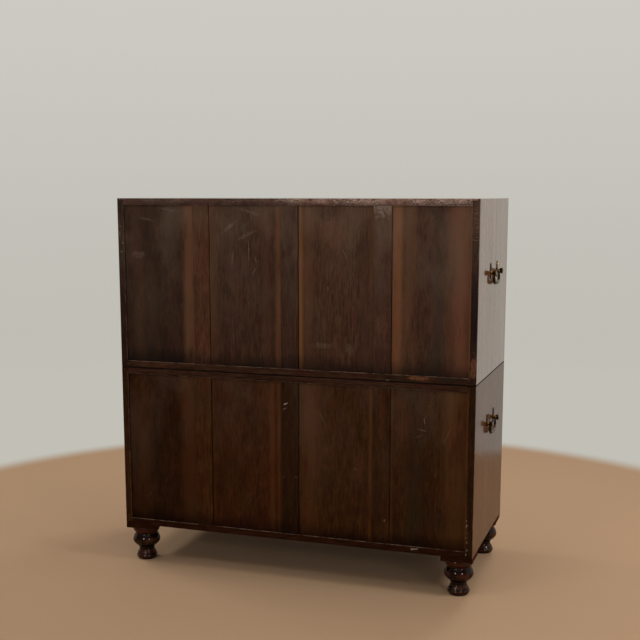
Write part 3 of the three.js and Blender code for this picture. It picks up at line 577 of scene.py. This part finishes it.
def polished_board(name, axis, seed, code, back_code, marks, bloom_and_sheen, edge_wear_and_highlight, gloss):
    """Polished mahogany outside, bare inside the case, and dark and worn on the edge that faces the back."""
    f = Finish(name + "_wood")
    colour, height, streaks = grained(f, axis, seed, code, depth=0.75, pore_share=0.3)
    behind = f.step(f.y, back_plane - 2.4 * MM, back_plane - 1.5 * MM)
    worn_and_lit, worn_height, _ = grained(f, axis, seed + 50, back_code)
    worn_and_lit = add_mottle(f, worn_and_lit, seed, 0.4)
    # Grey bloom with a painted sheen from above, thicker towards the top
    worn_and_lit = add_bloom_and_sheen(f, worn_and_lit, seed, bloom_and_sheen, EDGE_BLOOM_AND_SHEEN_LOW, EDGE_BLOOM_AND_SHEEN_HIGH)
    lines = worn_lit_edge_lines(f, name, "z" if axis == "x" else "x")
    # Pale lines along the long edges: wear, and a painted highlight of the arrises catching the light
    worn_and_lit = f.mix(f.times(lines, edge_wear_and_highlight), worn_and_lit, SCUFF_AND_HIGHLIGHT)
    worn_and_lit = add_marks(f, worn_and_lit, marks, seed)
    if name == "upper_top":
        # The top's back edge: wear and painted glints
        worn_and_lit = worn_and_lit_top_edge(f, worn_and_lit)
    inside = inside_share(f, name)
    seam = seam_share(f)
    bare = f.tint(colour, BARE_FILM)
    front = f.step(f.y, cad_low.y + 3 * MM, cad_low.y + 1 * MM)
    # What the board's own tone is multiplied by to give the drawer fronts' one
    to_mahogany = (*[a / b for a, b in zip(tone(MAHOGANY)[:3], tone(code)[:3])], 1.0)
    colour = f.mix(front, colour, f.tint(colour, to_mahogany))
    colour = f.mix(inside, colour, bare)
    colour = f.mix(behind, colour, worn_and_lit)
    # The seam: painted shade of the gap between the cases, with dirt
    colour = f.mix(seam, colour, GAP_SHADE)
    plain = f.larger(f.larger(behind, inside), seam)
    waves = f.noise(stretch(axis, 16.0, 1.4), seed + 90, detail=2.0, roughness=0.4)
    ripple = f.bump(waves, WAVE_DEPTH, 0.22)
    relief = f.blend(behind, height, worn_height)
    normal = f.bump(relief, GRAIN_DEPTH, f.blend(plain, 0.06, 0.4), under=ripple)
    rough = f.blend(plain, f.blend(streaks, 0.24, 0.34), 0.62)
    bands = f.noise(stretch(axis, 42.0, 1.6), seed + 91, detail=4.0, roughness=0.6)
    varnish = f.blend(f.step(f.blend(0.6, streaks, bands), 0.38, 0.62), gloss * 0.8, gloss)
    coat = f.times(f.math("SUBTRACT", 1.0, plain), varnish)
    return f.finish(Base_Color=colour, Roughness=rough, Normal=normal, Coat_Normal=ripple, Coat_Weight=coat,
                    Coat_Roughness=0.07, Specular_IOR_Level=0.03)


# The tone of each board's back edge
BOARDS = {
    "upper_top": TOP_BACK, "upper_bottom": MIDDLE_BACK, "lower_top": MIDDLE_BACK, "lower_bottom": BASE_BACK,
    "upper_shelf": MIDDLE_BACK, "lower_shelf": MIDDLE_BACK, "upper_drawer_divider": MIDDLE_BACK,
    "upper_left_side": UPPER_SIDE_BACK, "upper_right_side": UPPER_SIDE_BACK,
    "lower_left_side": LOWER_SIDE_BACK, "lower_right_side": LOWER_SIDE_BACK,
}


def make_cases():
    all_marks = EDGE_MARKS | {"upper_left_side": saw_marks(), "lower_left_side": flaked_marks()}
    for i, (name, back_code) in enumerate(BOARDS.items()):
        upper, is_side = name.startswith("upper"), name.endswith("_side")
        axis = "z" if name.endswith(("_side", "_divider")) else "x"
        side_code = UPPER_SIDE if upper else LOWER_SIDE
        code = side_code if is_side else MAHOGANY
        # The bloom and painted sheen, strong on the upper boards
        bloom_and_sheen = 0.35 if upper and name != "upper_top" else 0.08
        # How strong the pale edge lines are: wear and painted highlight
        edge_wear_and_highlight = 0.35 if name in ("upper_bottom", "lower_top", "lower_bottom") else 0.2
        gloss = 1.0 if upper else 0.36
        marks = all_marks.get(name, ())
        dress(name, polished_board(name, axis, i * 6 + 31, code, back_code, marks, bloom_and_sheen, edge_wear_and_highlight, gloss))
        edge = 0.8 if name == "upper_top" else 1.1
        ease_edges(name, edge * MM, segments=1 if upper and is_side else 2)


# Brass

# Tones in the hollows, on the faces and where hands rub
CARRY_TONES = ("#140c06", "#4c3618", "#c09a58")
PLATE_TONES = ("#4a3618", "#8d6c36", "#bd9655")
BAIL_TONES = ("#3f2e14", "#8a682f", "#c7a05c")


def brass(name, seed, tones):
    """Old brass: dark in its hollows, and rubbed bright where hands reach."""
    dark, middle, bright = tones
    f = Finish(name)
    patches = f.noise((70.0, 70.0, 70.0), seed, detail=5.0, roughness=0.6)
    scratches = f.noise((900.0, 900.0, 200.0), seed + 1, detail=2.0)
    colour = f.mix(f.step(patches, 0.36, 0.56), dark, middle)
    colour = f.mix(f.step(patches, 0.54, 0.72), colour, bright)
    rough = f.blend(f.step(patches, 0.35, 0.65), 0.46, 0.24)
    normal = f.bump(scratches, 0.05 * MM, 0.4)
    return f.finish(Base_Color=colour, Metallic=1.0, Roughness=rough, Normal=normal)


# Short calls for shapes


def smooth_piece(name, points, faces, material):
    mesh = bpy.data.meshes.new(name)
    mesh.from_pydata([tuple(p) for p in points], [], faces)
    mesh.validate()
    for polygon in mesh.polygons:
        polygon.use_smooth = True
    mesh.materials.append(material)
    piece = bpy.data.objects.new(name, mesh)
    bpy.context.scene.collection.objects.link(piece)
    return piece


def loft(rings, capped=(True, True)):
    """Points and faces through rings of equally many points."""
    count = len(rings[0])
    points = [p for ring in rings for p in ring]
    faces = []
    for i in range(len(rings) - 1):
        for k in range(count):
            turned = (k + 1) % count
            here, ahead = i * count, (i + 1) * count
            faces.append((here + k, here + turned, ahead + turned, ahead + k))
    if capped[0]:
        faces.append(tuple(reversed(range(count))))
    if capped[1]:
        faces.append(tuple(range(len(points) - count, len(points))))
    return points, faces


def circle(radius, height, count):
    turns = [2 * math.pi * k / count for k in range(count)]
    return [Vector((radius * math.cos(t), radius * math.sin(t), height)) for t in turns]


def join_parts(parts):
    """One list of points and faces from several."""
    points, faces = [], []
    for more_points, more_faces in parts:
        start = len(points)
        points += list(more_points)
        faces += [tuple(start + i for i in face) for face in more_faces]
    return points, faces


# Feet: the same turning as the model's, on a finer lathe. Radii and levels below the block, in mm.

SPIGOT_RADIUS, SPIGOT_LENGTH = 13.5, 26.0
DISC_RADIUS, DISC_LIP, DISC_FOOT, DISC_WAIST = 38.0, 8.0, 19.0, 30.0
TORUS_RADIUS, TORUS_MIDDLE, TORUS_FOOT, TORUS_WAIST = 38.5, 40.0, 59.0, 24.0
NECK_RADIUS, NECK_LEVEL = 21.3, 67.0
BELL_RADIUS, BELL_LEVEL, GROOVE_LEVEL, GROOVE_DEPTH = 26.8, 78.0, 79.4, 1.3
RIM_TOP, RIM_RADIUS, RIM_LEVEL, BASE_RADIUS = 81.0, 29.2, 86.5, 25.0
FOOT_EDGE = 0.8
LATHE_STEPS = 7
LATHE_SIDES = 96

# Above the floor: the levels and half heights of the ridges that carry painted light in worn-looking patches,
# and where the redder wood of the top starts
FOOT_LIT_RIDGES = ((56, 9), (22, 5), (10, 5))
REDDER_LOW, REDDER_HIGH = 75, 78


def turned_sweep(r0, r1, low, high, bulging):
    """A quarter wave between two radii, full near its end where it bulges and near its start where not."""
    points = []
    for i in range(1, LATHE_STEPS + 1):
        share = i / LATHE_STEPS
        quarter = share * math.pi / 2
        eased = math.sin(quarter) if bulging else 1 - math.cos(quarter)
        points.append((r0 + (r1 - r0) * eased, low + (high - low) * share))
    return points


def foot_profile(foot_end):
    edge = FOOT_EDGE
    return [
        (SPIGOT_RADIUS - edge, -SPIGOT_LENGTH), (SPIGOT_RADIUS, edge - SPIGOT_LENGTH), (SPIGOT_RADIUS, 0.0),
        (DISC_RADIUS - edge, 0.0), (DISC_RADIUS, edge),
        (DISC_RADIUS, DISC_LIP - edge), (DISC_RADIUS - edge, DISC_LIP),
        *turned_sweep(DISC_RADIUS - edge, DISC_WAIST, DISC_LIP, DISC_FOOT, False),
        *turned_sweep(DISC_WAIST, TORUS_RADIUS, DISC_FOOT, TORUS_MIDDLE, True),
        *turned_sweep(TORUS_RADIUS, TORUS_WAIST, TORUS_MIDDLE, TORUS_FOOT, False),
        *turned_sweep(TORUS_WAIST, NECK_RADIUS, TORUS_FOOT, NECK_LEVEL, True),
        *turned_sweep(NECK_RADIUS, BELL_RADIUS, NECK_LEVEL, BELL_LEVEL, False),
        (BELL_RADIUS - GROOVE_DEPTH, GROOVE_LEVEL), (BELL_RADIUS, RIM_TOP),
        *turned_sweep(BELL_RADIUS, RIM_RADIUS, RIM_TOP, RIM_LEVEL, True),
        *turned_sweep(RIM_RADIUS, BASE_RADIUS, RIM_LEVEL, foot_end - edge, False),
        (BASE_RADIUS - edge, foot_end),
    ]


def foot_wood():
    """Near black in the hollows, with painted light in brown worn-looking patches on the ridges, under a
    thick polish.
    """
    f = Finish("foot_wood")
    colour, height, streaks = grained(f, "z", 210, "#160803", pore_share=0.3)
    # Painted light on the ridges, in ragged patches like wear
    for middle, half in FOOT_LIT_RIDGES:
        ridge = f.between(f.z, (middle - half) * MM, (middle + half) * MM, half * 0.6 * MM)
        worn_and_lit = f.times(ridge, f.step(f.noise((60.0, 60.0, 30.0), middle, detail=5.0), 0.35, 0.65))
        colour = f.mix(f.times(worn_and_lit, 0.6), colour, "#44200f")
    redder = f.step(f.z, REDDER_LOW * MM, REDDER_HIGH * MM)
    colour = f.mix(f.times(redder, 0.75), colour, "#3a160a")
    rings = f.noise((3.0, 3.0, 700.0), 5, detail=2.0)
    normal = f.bump(rings, 0.08 * MM, 0.3, under=f.bump(height, 0.15 * MM, 0.25))
    rough = f.blend(streaks, 0.22, 0.36)
    return f.finish(Base_Color=colour, Roughness=rough, Normal=normal, Coat_Weight=0.55, Coat_Roughness=0.03,
                    Coat_IOR=1.42, Specular_IOR_Level=0.0)


def make_feet():
    material = foot_wood()
    for name in ("front_left_foot", "front_right_foot", "back_left_foot", "back_right_foot"):
        low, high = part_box(name)
        centre = (low + high) / 2
        block_level = high.z - SPIGOT_LENGTH * MM
        profile = foot_profile(block_level / MM)
        rings = [circle(r * MM, block_level - below * MM, LATHE_SIDES) for r, below in reversed(profile)]
        points, faces = loft(rings)
        points = [p + Vector((centre.x, centre.y, 0)) for p in points]
        foot = smooth_piece(name + "_turned", points, faces, material)
        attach(foot, body_of_node[name])
        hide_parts(name)


# Carrying handles. Sizes in mm, reach is measured outwards from the case.

CARRY = {
    "plate": 8.5, "plate_thickness": 1.8, "plate_chamfer": 0.5, "spike_rise": 26.0, "spike_drop": 17.0,
    "spike_half": 3.8, "tip_half": 0.8, "collar": 7.0, "neck": 4.4, "neck_reach": 6.6, "pommel": 8.2,
    "pommel_reach": 14.2, "reach": 16.0, "axis_reach": 7.6, "pin": 1.7, "pin_depth": 2.6, "leg": 2.6,
    "rise": 1.0, "grip": 6.0, "leg_inset": 11.5, "drop": 27.0, "corner": 16.0,
}
PLATE_SAMPLES = 144
POST_SIDES = 40
BAIL_SIDES = 20
BAIL_STEPS = 10


def spiked_plate():
    """A round plate with a long point upwards and a shorter one downwards, chamfered at its face."""
    outline = []
    for k in range(PLATE_SAMPLES):
        turn = 2 * math.pi * k / PLATE_SAMPLES
        up, across = math.cos(turn), abs(math.sin(turn))
        length = CARRY["spike_rise"] if up > 0 else CARRY["spike_drop"]
        taper = (CARRY["spike_half"] - CARRY["tip_half"]) / length
        spike = min(CARRY["spike_half"] / (across + taper * abs(up)), length / max(abs(up), 0.01))
        reach = max(CARRY["plate"], spike)
        outline.append((reach * math.sin(turn), reach * up))
    face = CARRY["plate_thickness"]
    levels = ((0.0, 1.0), (face - CARRY["plate_chamfer"], 1.0), (face, 0.93))
    return loft([[Vector((u * size, v * size, w)) for u, v in outline] for w, size in levels])


def mount_post():
    """The turned post: collar, neck and flared pommel with a domed end."""
    collar, neck, pommel = CARRY["collar"], CARRY["neck"], CARRY["pommel"]
    neck_reach, pommel_reach = CARRY["neck_reach"], CARRY["pommel_reach"]
    tip = 0.05
    profile = [
        (tip, 0.4), (collar, 0.4), (collar, 1.9), (collar - 0.5, 2.5), (neck + 0.7, 3.5),
        (neck, 4.5), (neck, neck_reach - 0.5), (neck + 0.7, neck_reach + 0.5),
        (6.3, 8.7), (7.3, 10.6), (pommel - 0.4, 12.2), (pommel, 13.2),
        (pommel, pommel_reach), (pommel - 0.7, 14.9), (neck + 0.9, 15.7), (tip, CARRY["reach"]),
    ]
    return loft([circle(r, reach, POST_SIDES) for r, reach in profile])


def tube(stations):
    """A round bar through stations of centre, radius and side, all bending in one plane."""
    rings = []
    for i, (centre, radius) in enumerate(stations):
        before = stations[max(i - 1, 0)][0]
        after = stations[min(i + 1, len(stations) - 1)][0]
        along = (after - before).normalized()
        across = Vector((0, 0, 1))
        outward = along.cross(across)
        ring = []
        for k in range(BAIL_SIDES):
            turn = 2 * math.pi * k / BAIL_SIDES
            ring.append(centre + (across * math.cos(turn) + outward * math.sin(turn)) * radius)
        rings.append(ring)
    return loft(rings)


def bail_line(half, rise, drop, corner):
    """A hanging U in u and v: down one leg, round a corner, along, round the other corner and up."""
    line = [(-half, rise), (-half, 0.0), (-half, (corner - drop) * 0.5)]
    for i in range(BAIL_STEPS + 1):
        t = i / BAIL_STEPS
        line.append((t ** 2 * corner - half, (1 - t) ** 2 * corner - drop))
    middle = [((corner - half) * (1 - 2 * i / BAIL_STEPS), -drop) for i in range(1, BAIL_STEPS)]
    mirrored = [(-u, v) for u, v in reversed(line)]
    return line + middle + mirrored


def bail_parts(sizes, half, pin_end, radius_at):
    """A bail with domed leg ends and a pin on each leg. Its radius is given for each share of its length."""
    line = bail_line(half, sizes["rise"], sizes["drop"], sizes["corner"])
    lengths = [0.0]
    for (u0, v0), (u1, v1) in zip(line, line[1:]):
        lengths.append(lengths[-1] + math.hypot(u1 - u0, v1 - v0))
    stations = [(Vector((u, v, 0)), radius_at(s / lengths[-1])) for (u, v), s in zip(line, lengths)]
    first, last = stations[0], stations[-1]
    dome, dome_share = Vector((0, 0.8, 0)), 0.55
    stations = [(first[0] + dome, first[1] * dome_share)] + stations
    stations.append((last[0] + dome, last[1] * dome_share))
    parts = [tube(stations)]
    for side in (-1, 1):
        section = circle(sizes["pin"], 0, BAIL_SIDES)
        rings = [[Vector((side * u, p.y, p.x)) for p in section] for u in (half, pin_end)]
        parts.append(loft(rings if side > 0 else rings[::-1]))
    return join_parts(parts)


def set_on_side(points, side, x, y, z):
    """From a handle's own frame, across, up and outwards in mm, to its place on a side of the case."""
    return [Vector((x + side * p.z * MM, y + side * p.x * MM, z + p.y * MM)) for p in points]


def cast_brass(name, points, faces, material):
    """A finer casting in place of one of the model's brass pieces."""
    piece = smooth_piece(name + "_cast", points, faces, material)
    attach(piece, body_of_node[name])
    piece.data.set_sharp_from_angle(angle=math.radians(38))
    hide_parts(name)


def carry_radius(share):
    """The carrying bail's radius along its length: thin legs, and a grip that swells to its middle."""
    return CARRY["leg"] + (CARRY["grip"] - CARRY["leg"]) * math.sin(math.pi * share) ** 2


def make_carry_handles():
    material = brass("carry_brass", 3, CARRY_TONES)
    mount_points, mount_faces = join_parts([spiked_plate(), mount_post()])
    c = CARRY
    for case in ("lower", "upper"):
        for side, word in ((-1, "left"), (1, "right")):
            for place in ("near", "far"):
                name = f"{case}_{word}_carry_mount_{place}"
                low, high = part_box(name)
                surface = high.x if side < 0 else low.x
                centre_y, centre_z = (low.y + high.y) / 2, low.z + c["spike_drop"] * MM
                points = set_on_side(mount_points, side, surface, centre_y, centre_z)
                cast_brass(name, points, mount_faces, material)
            name = f"{case}_{word}_carry_bail"
            low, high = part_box(name)
            pin_end = (high.y - low.y) / 2 / MM
            half = pin_end + c["neck"] - c["pin_depth"] - c["leg_inset"]
            points, faces = bail_parts(c, half, pin_end, carry_radius)
            centre_y, axis_z = (low.y + high.y) / 2, high.z - c["leg"] * MM
            points = set_on_side(points, side, surface + side * c["axis_reach"] * MM, centre_y, axis_z)
            cast_brass(name, points, faces, material)


# Drawers, their flush handles and escutcheons. Sizes in mm, depth is measured behind the fronts' face.

FLUSH = {
    "plate_width": 92.0, "plate_height": 58.0, "plate_corner": 3.0, "tray_width": 78.0, "tray_height": 44.0,
    "tray_corner": 6.0, "tray_floor": 6.9, "dish_width": 56.0, "dish_height": 31.0, "dish_corner": 11.0,
    "dish_floor": 12.4, "dish_drop": 5.0, "axis_depth": 3.3, "axis_rise": 14.0, "bar": 2.5, "rise": 1.7,
    "drop": 26.0, "bail_width": 69.0, "corner": 9.0, "pin": 1.5,
}
CORNER_STEPS = 8
# Screws at the corners of a plate, from its middle
SCREW_ASIDE, SCREW_ALOFT = 42.2, 25.2
SCREW_STEPS = 12
# From the top of a drawer front down to the middle of its escutcheon
KEYHOLE_DROP = 27.0
ESCUTCHEON_SAMPLES = 96


def rounded_ring(width, height, corner, lift, depth):
    """A rounded rectangle on a front, at a depth behind its face."""
    ring = []
    for quarter, (sx, sz) in enumerate(((1, -1), (1, 1), (-1, 1), (-1, -1))):
        for i in range(CORNER_STEPS + 1):
            turn = math.pi / 2 * (quarter - 1 + i / CORNER_STEPS)
            x = sx * (width / 2 - corner) + corner * math.cos(turn)
            z = sz * (height / 2 - corner) + corner * math.sin(turn) + lift
            ring.append(Vector((x, depth, z)))
    return ring


def flush_plate():
    """One stamped plate: rim, tray with rounded edges, and the finger dish in its floor."""
    wall, floor, bottom = 0.35, FLUSH["tray_floor"], FLUSH["dish_floor"]
    # For each ring, how much wider, taller and rounder than its form it is, and how deep it lies
    forms = {
        "plate": [(-0.3, -0.3, 0.0, 0.95), (-0.3, -0.3, 0.0, 0.5), (-0.9, -0.9, -0.3, 0.25)],
        "tray": [(1.6, 1.6, 0.8, 0.25), (0.5, 0.5, 0.25, 0.5), (0.0, 0.0, 0.0, 1.1),
                 (0.0, 0.0, 0.0, floor - 1.6), (-1.2, -1.2, -0.6, floor - 0.4), (-3.4, -3.4, -1.7, floor)],
        "dish": [(1.4, 1.4, 0.7, floor), (0.0, 0.0, 0.0, floor + 0.5), (-1.4, -1.4, -0.7, floor + 2.6),
                 (-7.0, -6.0, -2.9, bottom - 0.9), (-16.0, -14.0, -6.0, bottom)],
    }
    rings = []
    for form, steps in forms.items():
        inset = 0.0 if form == "plate" else wall
        lift = -FLUSH["dish_drop"] if form == "dish" else 0.0
        width, height = FLUSH[form + "_width"] - 2 * inset, FLUSH[form + "_height"] - 2 * inset
        corner = FLUSH[form + "_corner"] - inset
        for wider, taller, rounder, depth in steps:
            rings.append(rounded_ring(width + wider, height + taller, corner + rounder, lift, depth))
    return loft(rings, capped=(False, True))


def polar_ring(reach_at, depth):
    """A ring on a front, with its reach given for each turn from straight up."""
    ring = []
    for k in range(ESCUTCHEON_SAMPLES):
        turn = 2 * math.pi * k / ESCUTCHEON_SAMPLES
        reach = reach_at(turn)
        ring.append(Vector((reach * math.sin(turn), depth, reach * math.cos(turn))))
    return ring


def slotted_screw(x, z):
    """A screw head in two halves, with the slot between them turned by its own angle."""
    radius, half_slot, seat, chamfer, face = 2.3, 0.32, 0.55, 0.12, 0.12
    tilt = math.sin(x * 12.9 + z * 4.1) * 1.5
    parts = []
    for side in (-1, 1):
        outline = []
        for i in range(SCREW_STEPS + 1):
            turn = math.pi * i / SCREW_STEPS
            outline.append((radius * math.cos(turn), max(radius * math.sin(turn), half_slot) * side))
        rings = []
        for depth, size in ((seat, 1.0), (face + chamfer, 1.0), (face, 0.9)):
            ring = []
            for u, v in outline:
                across = u * size
                up = v * size if abs(v) > half_slot else v
                turned_x = across * math.cos(tilt) - up * math.sin(tilt)
                turned_z = across * math.sin(tilt) + up * math.cos(tilt)
                ring.append(Vector((x + turned_x, depth, z + turned_z)))
            rings.append(ring)
        parts.append(loft(rings if side > 0 else [ring[::-1] for ring in rings], capped=(False, True)))
    return join_parts(parts)


def escutcheon():
    """A let-in disc with a rounded rim, pierced by the keyhole and lined down into it."""
    radius, hole, half_slot, slot_length = 8.85, 2.6, 1.5, 8.0

    def keyhole(grown):
        def reach_at(turn):
            up, across = math.cos(turn), abs(math.sin(turn))
            if up >= 0:
                return hole + grown
            slot = min((half_slot + grown) / max(across, 0.001), (slot_length + grown) / -up)
            return max(hole + grown, slot)
        return reach_at

    rings = [polar_ring(lambda turn: radius, 0.9), polar_ring(lambda turn: radius, 0.3),
             polar_ring(lambda turn: radius - 0.35, 0.06), polar_ring(keyhole(0.3), 0.06),
             polar_ring(keyhole(-0.1), 0.35), polar_ring(keyhole(-0.1), 2.4)]
    return loft(rings, capped=(False, False))


def place_on_front(points, x, z):
    """From a handle's own frame in mm, depth behind the face, to a place on the drawers' front plane."""
    return [Vector((x + p.x * MM, cad_low.y + p.y * MM, z + p.z * MM)) for p in points]


def add_to_front(name, points, faces, material, body):
    """A brass piece that only the scene has, let into a drawer front."""
    piece = smooth_piece(name, points, faces, material)
    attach(piece, body)
    piece.data.set_sharp_from_angle(angle=math.radians(50))


def make_escutcheons():
    material = brass("escutcheon_brass", 29, PLATE_TONES)
    points, faces = escutcheon()
    for name in sorted(nodes):
        if name.endswith("_drawer_front"):
            low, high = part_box(name)
            placed = place_on_front(points, (low.x + high.x) / 2, high.z - KEYHOLE_DROP * MM)
            add_to_front(name + "_escutcheon", placed, faces, material, body_of_node[name])


def make_flush_handles():
    plate_brass = brass("plate_brass", 17, PLATE_TONES)
    bail_brass = brass("bail_brass", 23, BAIL_TONES)
    screws = [slotted_screw(side * SCREW_ASIDE, lift * SCREW_ALOFT) for side in (-1, 1) for lift in (-1, 1)]
    plate_points, plate_faces = join_parts([flush_plate(), *screws])
    c = FLUSH
    for name in sorted(nodes):
        if "_drawer_bail_" not in name:
            continue
        low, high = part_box(name)
        x, axis_z = (low.x + high.x) / 2, high.z - c["bar"] * MM
        placed = place_on_front(plate_points, x, axis_z - c["axis_rise"] * MM)
        add_to_front(name + "_plate", placed, plate_faces, plate_brass, name.split("_bail_")[0])
        half, pin_end = c["bail_width"] / 2, (high.x - low.x) / 2 / MM
        points, faces = bail_parts(c, half, pin_end, lambda share: c["bar"])
        points = [Vector((p.x, c["axis_depth"] + p.z, p.y)) for p in points]
        cast_brass(name, place_on_front(points, x, axis_z), faces, bail_brass)


def drawer_front_wood(name, seed):
    """Mahogany, polished on the face that shows and plain behind it."""
    f = Finish(name)
    colour, height, streaks = grained(f, "x", seed, MAHOGANY, pore_share=0.35)
    hidden = f.step(f.y, cad_low.y + 2 * MM, cad_low.y + 4 * MM)
    colour = f.mix(hidden, colour, f.tint(colour, HIDDEN_FILM))
    waves = f.noise(stretch("x", 13.0, 3.0), seed + 90, detail=3.0, roughness=0.4)
    ripple = f.bump(waves, WAVE_DEPTH, 0.2)
    normal = f.bump(height, GRAIN_DEPTH, 0.35, under=ripple)
    rough = f.blend(hidden, f.blend(streaks, 0.22, 0.36), 0.6)
    polish = f.scaled(hidden, -0.6, 0.6)
    return f.finish(Base_Color=colour, Roughness=rough, Normal=normal, Coat_Normal=ripple, Coat_Weight=polish,
                    Coat_Roughness=0.1, Specular_IOR_Level=0.25)


def lining_wood(name, seed):
    """The drawers' bare and dusty sides, backs and bottoms."""
    f = Finish(name)
    colour, height, streaks = grained(f, "y", seed, "#86663f", pore_share=0.4)
    dust = f.step(f.noise((12.0, 12.0, 12.0), seed + 9, detail=5.0), 0.4, 0.75)
    colour = f.mix(f.times(dust, 0.3), colour, "#5a4733")
    rough = f.blend(streaks, 0.6, 0.78)
    normal = f.bump(height, GRAIN_DEPTH, 0.5)
    return f.finish(Base_Color=colour, Roughness=rough, Normal=normal, Specular_IOR_Level=0.3)


def make_drawers():
    drawers = ("bottom_drawer", "third_drawer", "second_drawer", "top_left_drawer", "top_right_drawer")
    for i, drawer in enumerate(drawers):
        dress(drawer + "_front", drawer_front_wood(drawer + "_front_wood", 140 + i * 9))
        ease_edges(drawer + "_front", 0.7 * MM)
        dress(drawer + "_box", lining_wood(drawer + "_lining", 170 + i * 9))
        ease_edges(drawer + "_box", 0.6 * MM)


# The floor and backdrop: one sweep, round on all sides

FLOOR_RADIUS, COVE_RADIUS, WALL_HEIGHT = 3.6, 1.0, 3.4
COVE_STEPS = 12
SWEEP_SIDES = 96
# Where the tan floor gives way to the pale backdrop, from the middle
FLOOR_EDGE = (1.5, 1.66)
# Where the backdrop behind the camera grows dimmer in reflections, and how much dimmer
DIM_REACH = (0.3, 1.8)
DIM_SHARE = 0.8
# How high up the backdrop's glow is palest: painted light, brighter upwards like a wall lit from above
PALE_HEIGHT = 2.6


def sweep_paint():
    """A tan floor, and a pale backdrop that glows only for the camera, in reflections and through glass."""
    f = Finish("sweep_paint")
    distance = f.length(f.place)
    rays = f.node("ShaderNodeLightPath", {}).outputs
    seen = rays["Is Camera Ray"]
    for kind in ("Is Glossy Ray", "Is Transmission Ray"):
        seen = f.larger(seen, rays[kind])
    away = f.step(distance, *FLOOR_EDGE)
    dimmed = f.times(rays["Is Glossy Ray"], f.step(f.y, *DIM_REACH))
    shown = f.times(f.times(away, seen), f.scaled(dimmed, -DIM_SHARE, 1.0))
    colour = f.mix(away, "#8f745a", f.mix(seen, "#e0dedb", "#000000"))
    # Painted light: the backdrop's glow grows paler upwards
    backdrop = f.mix(f.step(f.z, 0.0, PALE_HEIGHT), "#bfbdb4", "#cccac3")
    return f.finish(Base_Color=colour, Roughness=0.9, Specular_IOR_Level=0.1,
                    Emission_Color=backdrop, Emission_Strength=shown)


def make_stage():
    profile = [(0.02, 0.0), (1.0, 0.0), (2.0, 0.0), (FLOOR_RADIUS, 0.0)]
    for i in range(1, COVE_STEPS + 1):
        turn = math.pi / 2 * i / COVE_STEPS
        profile.append((FLOOR_RADIUS + COVE_RADIUS * math.sin(turn), COVE_RADIUS * (1 - math.cos(turn))))
    profile.append((FLOOR_RADIUS + COVE_RADIUS, WALL_HEIGHT))
    points, faces = loft([circle(r, z, SWEEP_SIDES) for r, z in profile], capped=(True, False))
    smooth_piece("sweep", points, faces, sweep_paint())


# A soft box high up on each side, a wide one overhead and two tall low ones. For each lamp: where it hangs,
# what it is aimed at, its width and height, and its watts
LAMPS = {
    "back_box": ((0.7, 1.75, 2.35), (0.0, 0.2, 0.7), 0.8, 0.5, 14),
    "front_box": ((-0.7, -1.75, 2.35), (0.0, -0.2, 0.7), 0.8, 0.5, 34),
    "left_box": ((-2.2, 0.3, 2.1), (-0.4, 0.0, 0.6), 0.8, 0.5, 38),
    "right_box": ((2.2, -0.3, 2.1), (0.4, 0.0, 0.6), 0.8, 0.5, 30),
    "overhead": ((0.0, 0.0, 3.3), (0.0, 0.0, 0.0), 3.4, 3.4, 20),
    "low_box_left": ((0.5, 3.0, 1.3), (-0.4, 0.2, 0.1), 0.3, 0.5, 14.5),
    "low_box_right": ((-2.4, 2.5, 1.3), (-0.4, 0.2, 0.1), 0.3, 0.5, 14.5),
}
SKY = "#e0dcd6"
SKY_STRENGTH = 0.6


def make_light():
    """The lamps, and a pale sky."""
    for name, (place, aim, width, height, watts) in LAMPS.items():
        data = bpy.data.lights.new(name, "AREA")
        data.shape = "RECTANGLE"
        data.size, data.size_y = width, height
        data.energy = watts
        lamp = bpy.data.objects.new(name, data)
        lamp.location = place
        lamp.rotation_mode = "QUATERNION"
        lamp.rotation_quaternion = (Vector(aim) - Vector(place)).to_track_quat("-Z", "Y")
        lamp.visible_camera = not name.startswith("low_box")
        bpy.context.scene.collection.objects.link(lamp)
    world = bpy.data.worlds.new("studio")
    bpy.context.scene.world = world
    world.use_nodes = True
    background = world.node_tree.nodes["Background"]
    background.inputs["Color"].default_value = tone(SKY)
    background.inputs["Strength"].default_value = SKY_STRENGTH


# The photograph's view: from behind the chest, a little above its top, past its left side
CAMERA_PLACE = (-0.9715, 2.8675, 1.0317)
CAMERA_YAW, CAMERA_PITCH = -18.514, 9.212
SENSOR_WIDTH, FOCAL_LENGTH = 36.0, 61.065
PICTURE_WIDTH, PICTURE_SHIFT = 640, 50


def make_camera():
    data = bpy.data.cameras.new("camera")
    data.sensor_width = SENSOR_WIDTH
    data.lens = FOCAL_LENGTH
    data.shift_y = PICTURE_SHIFT / PICTURE_WIDTH
    yaw, pitch = math.radians(CAMERA_YAW), math.radians(CAMERA_PITCH)
    forward = Vector((-math.sin(yaw) * math.cos(pitch), -math.cos(yaw) * math.cos(pitch), -math.sin(pitch)))
    camera = bpy.data.objects.new("camera", data)
    camera.location = CAMERA_PLACE
    camera.rotation_mode = "QUATERNION"
    camera.rotation_quaternion = forward.to_track_quat("-Z", "Y")
    bpy.context.scene.collection.objects.link(camera)
    bpy.context.scene.camera = camera


make_camera()
make_backs()
make_cases()
make_feet()
make_carry_handles()
make_drawers()
make_flush_handles()
make_escutcheons()
make_stage()
make_light()
bpy.context.scene.view_settings.view_transform = "Standard"
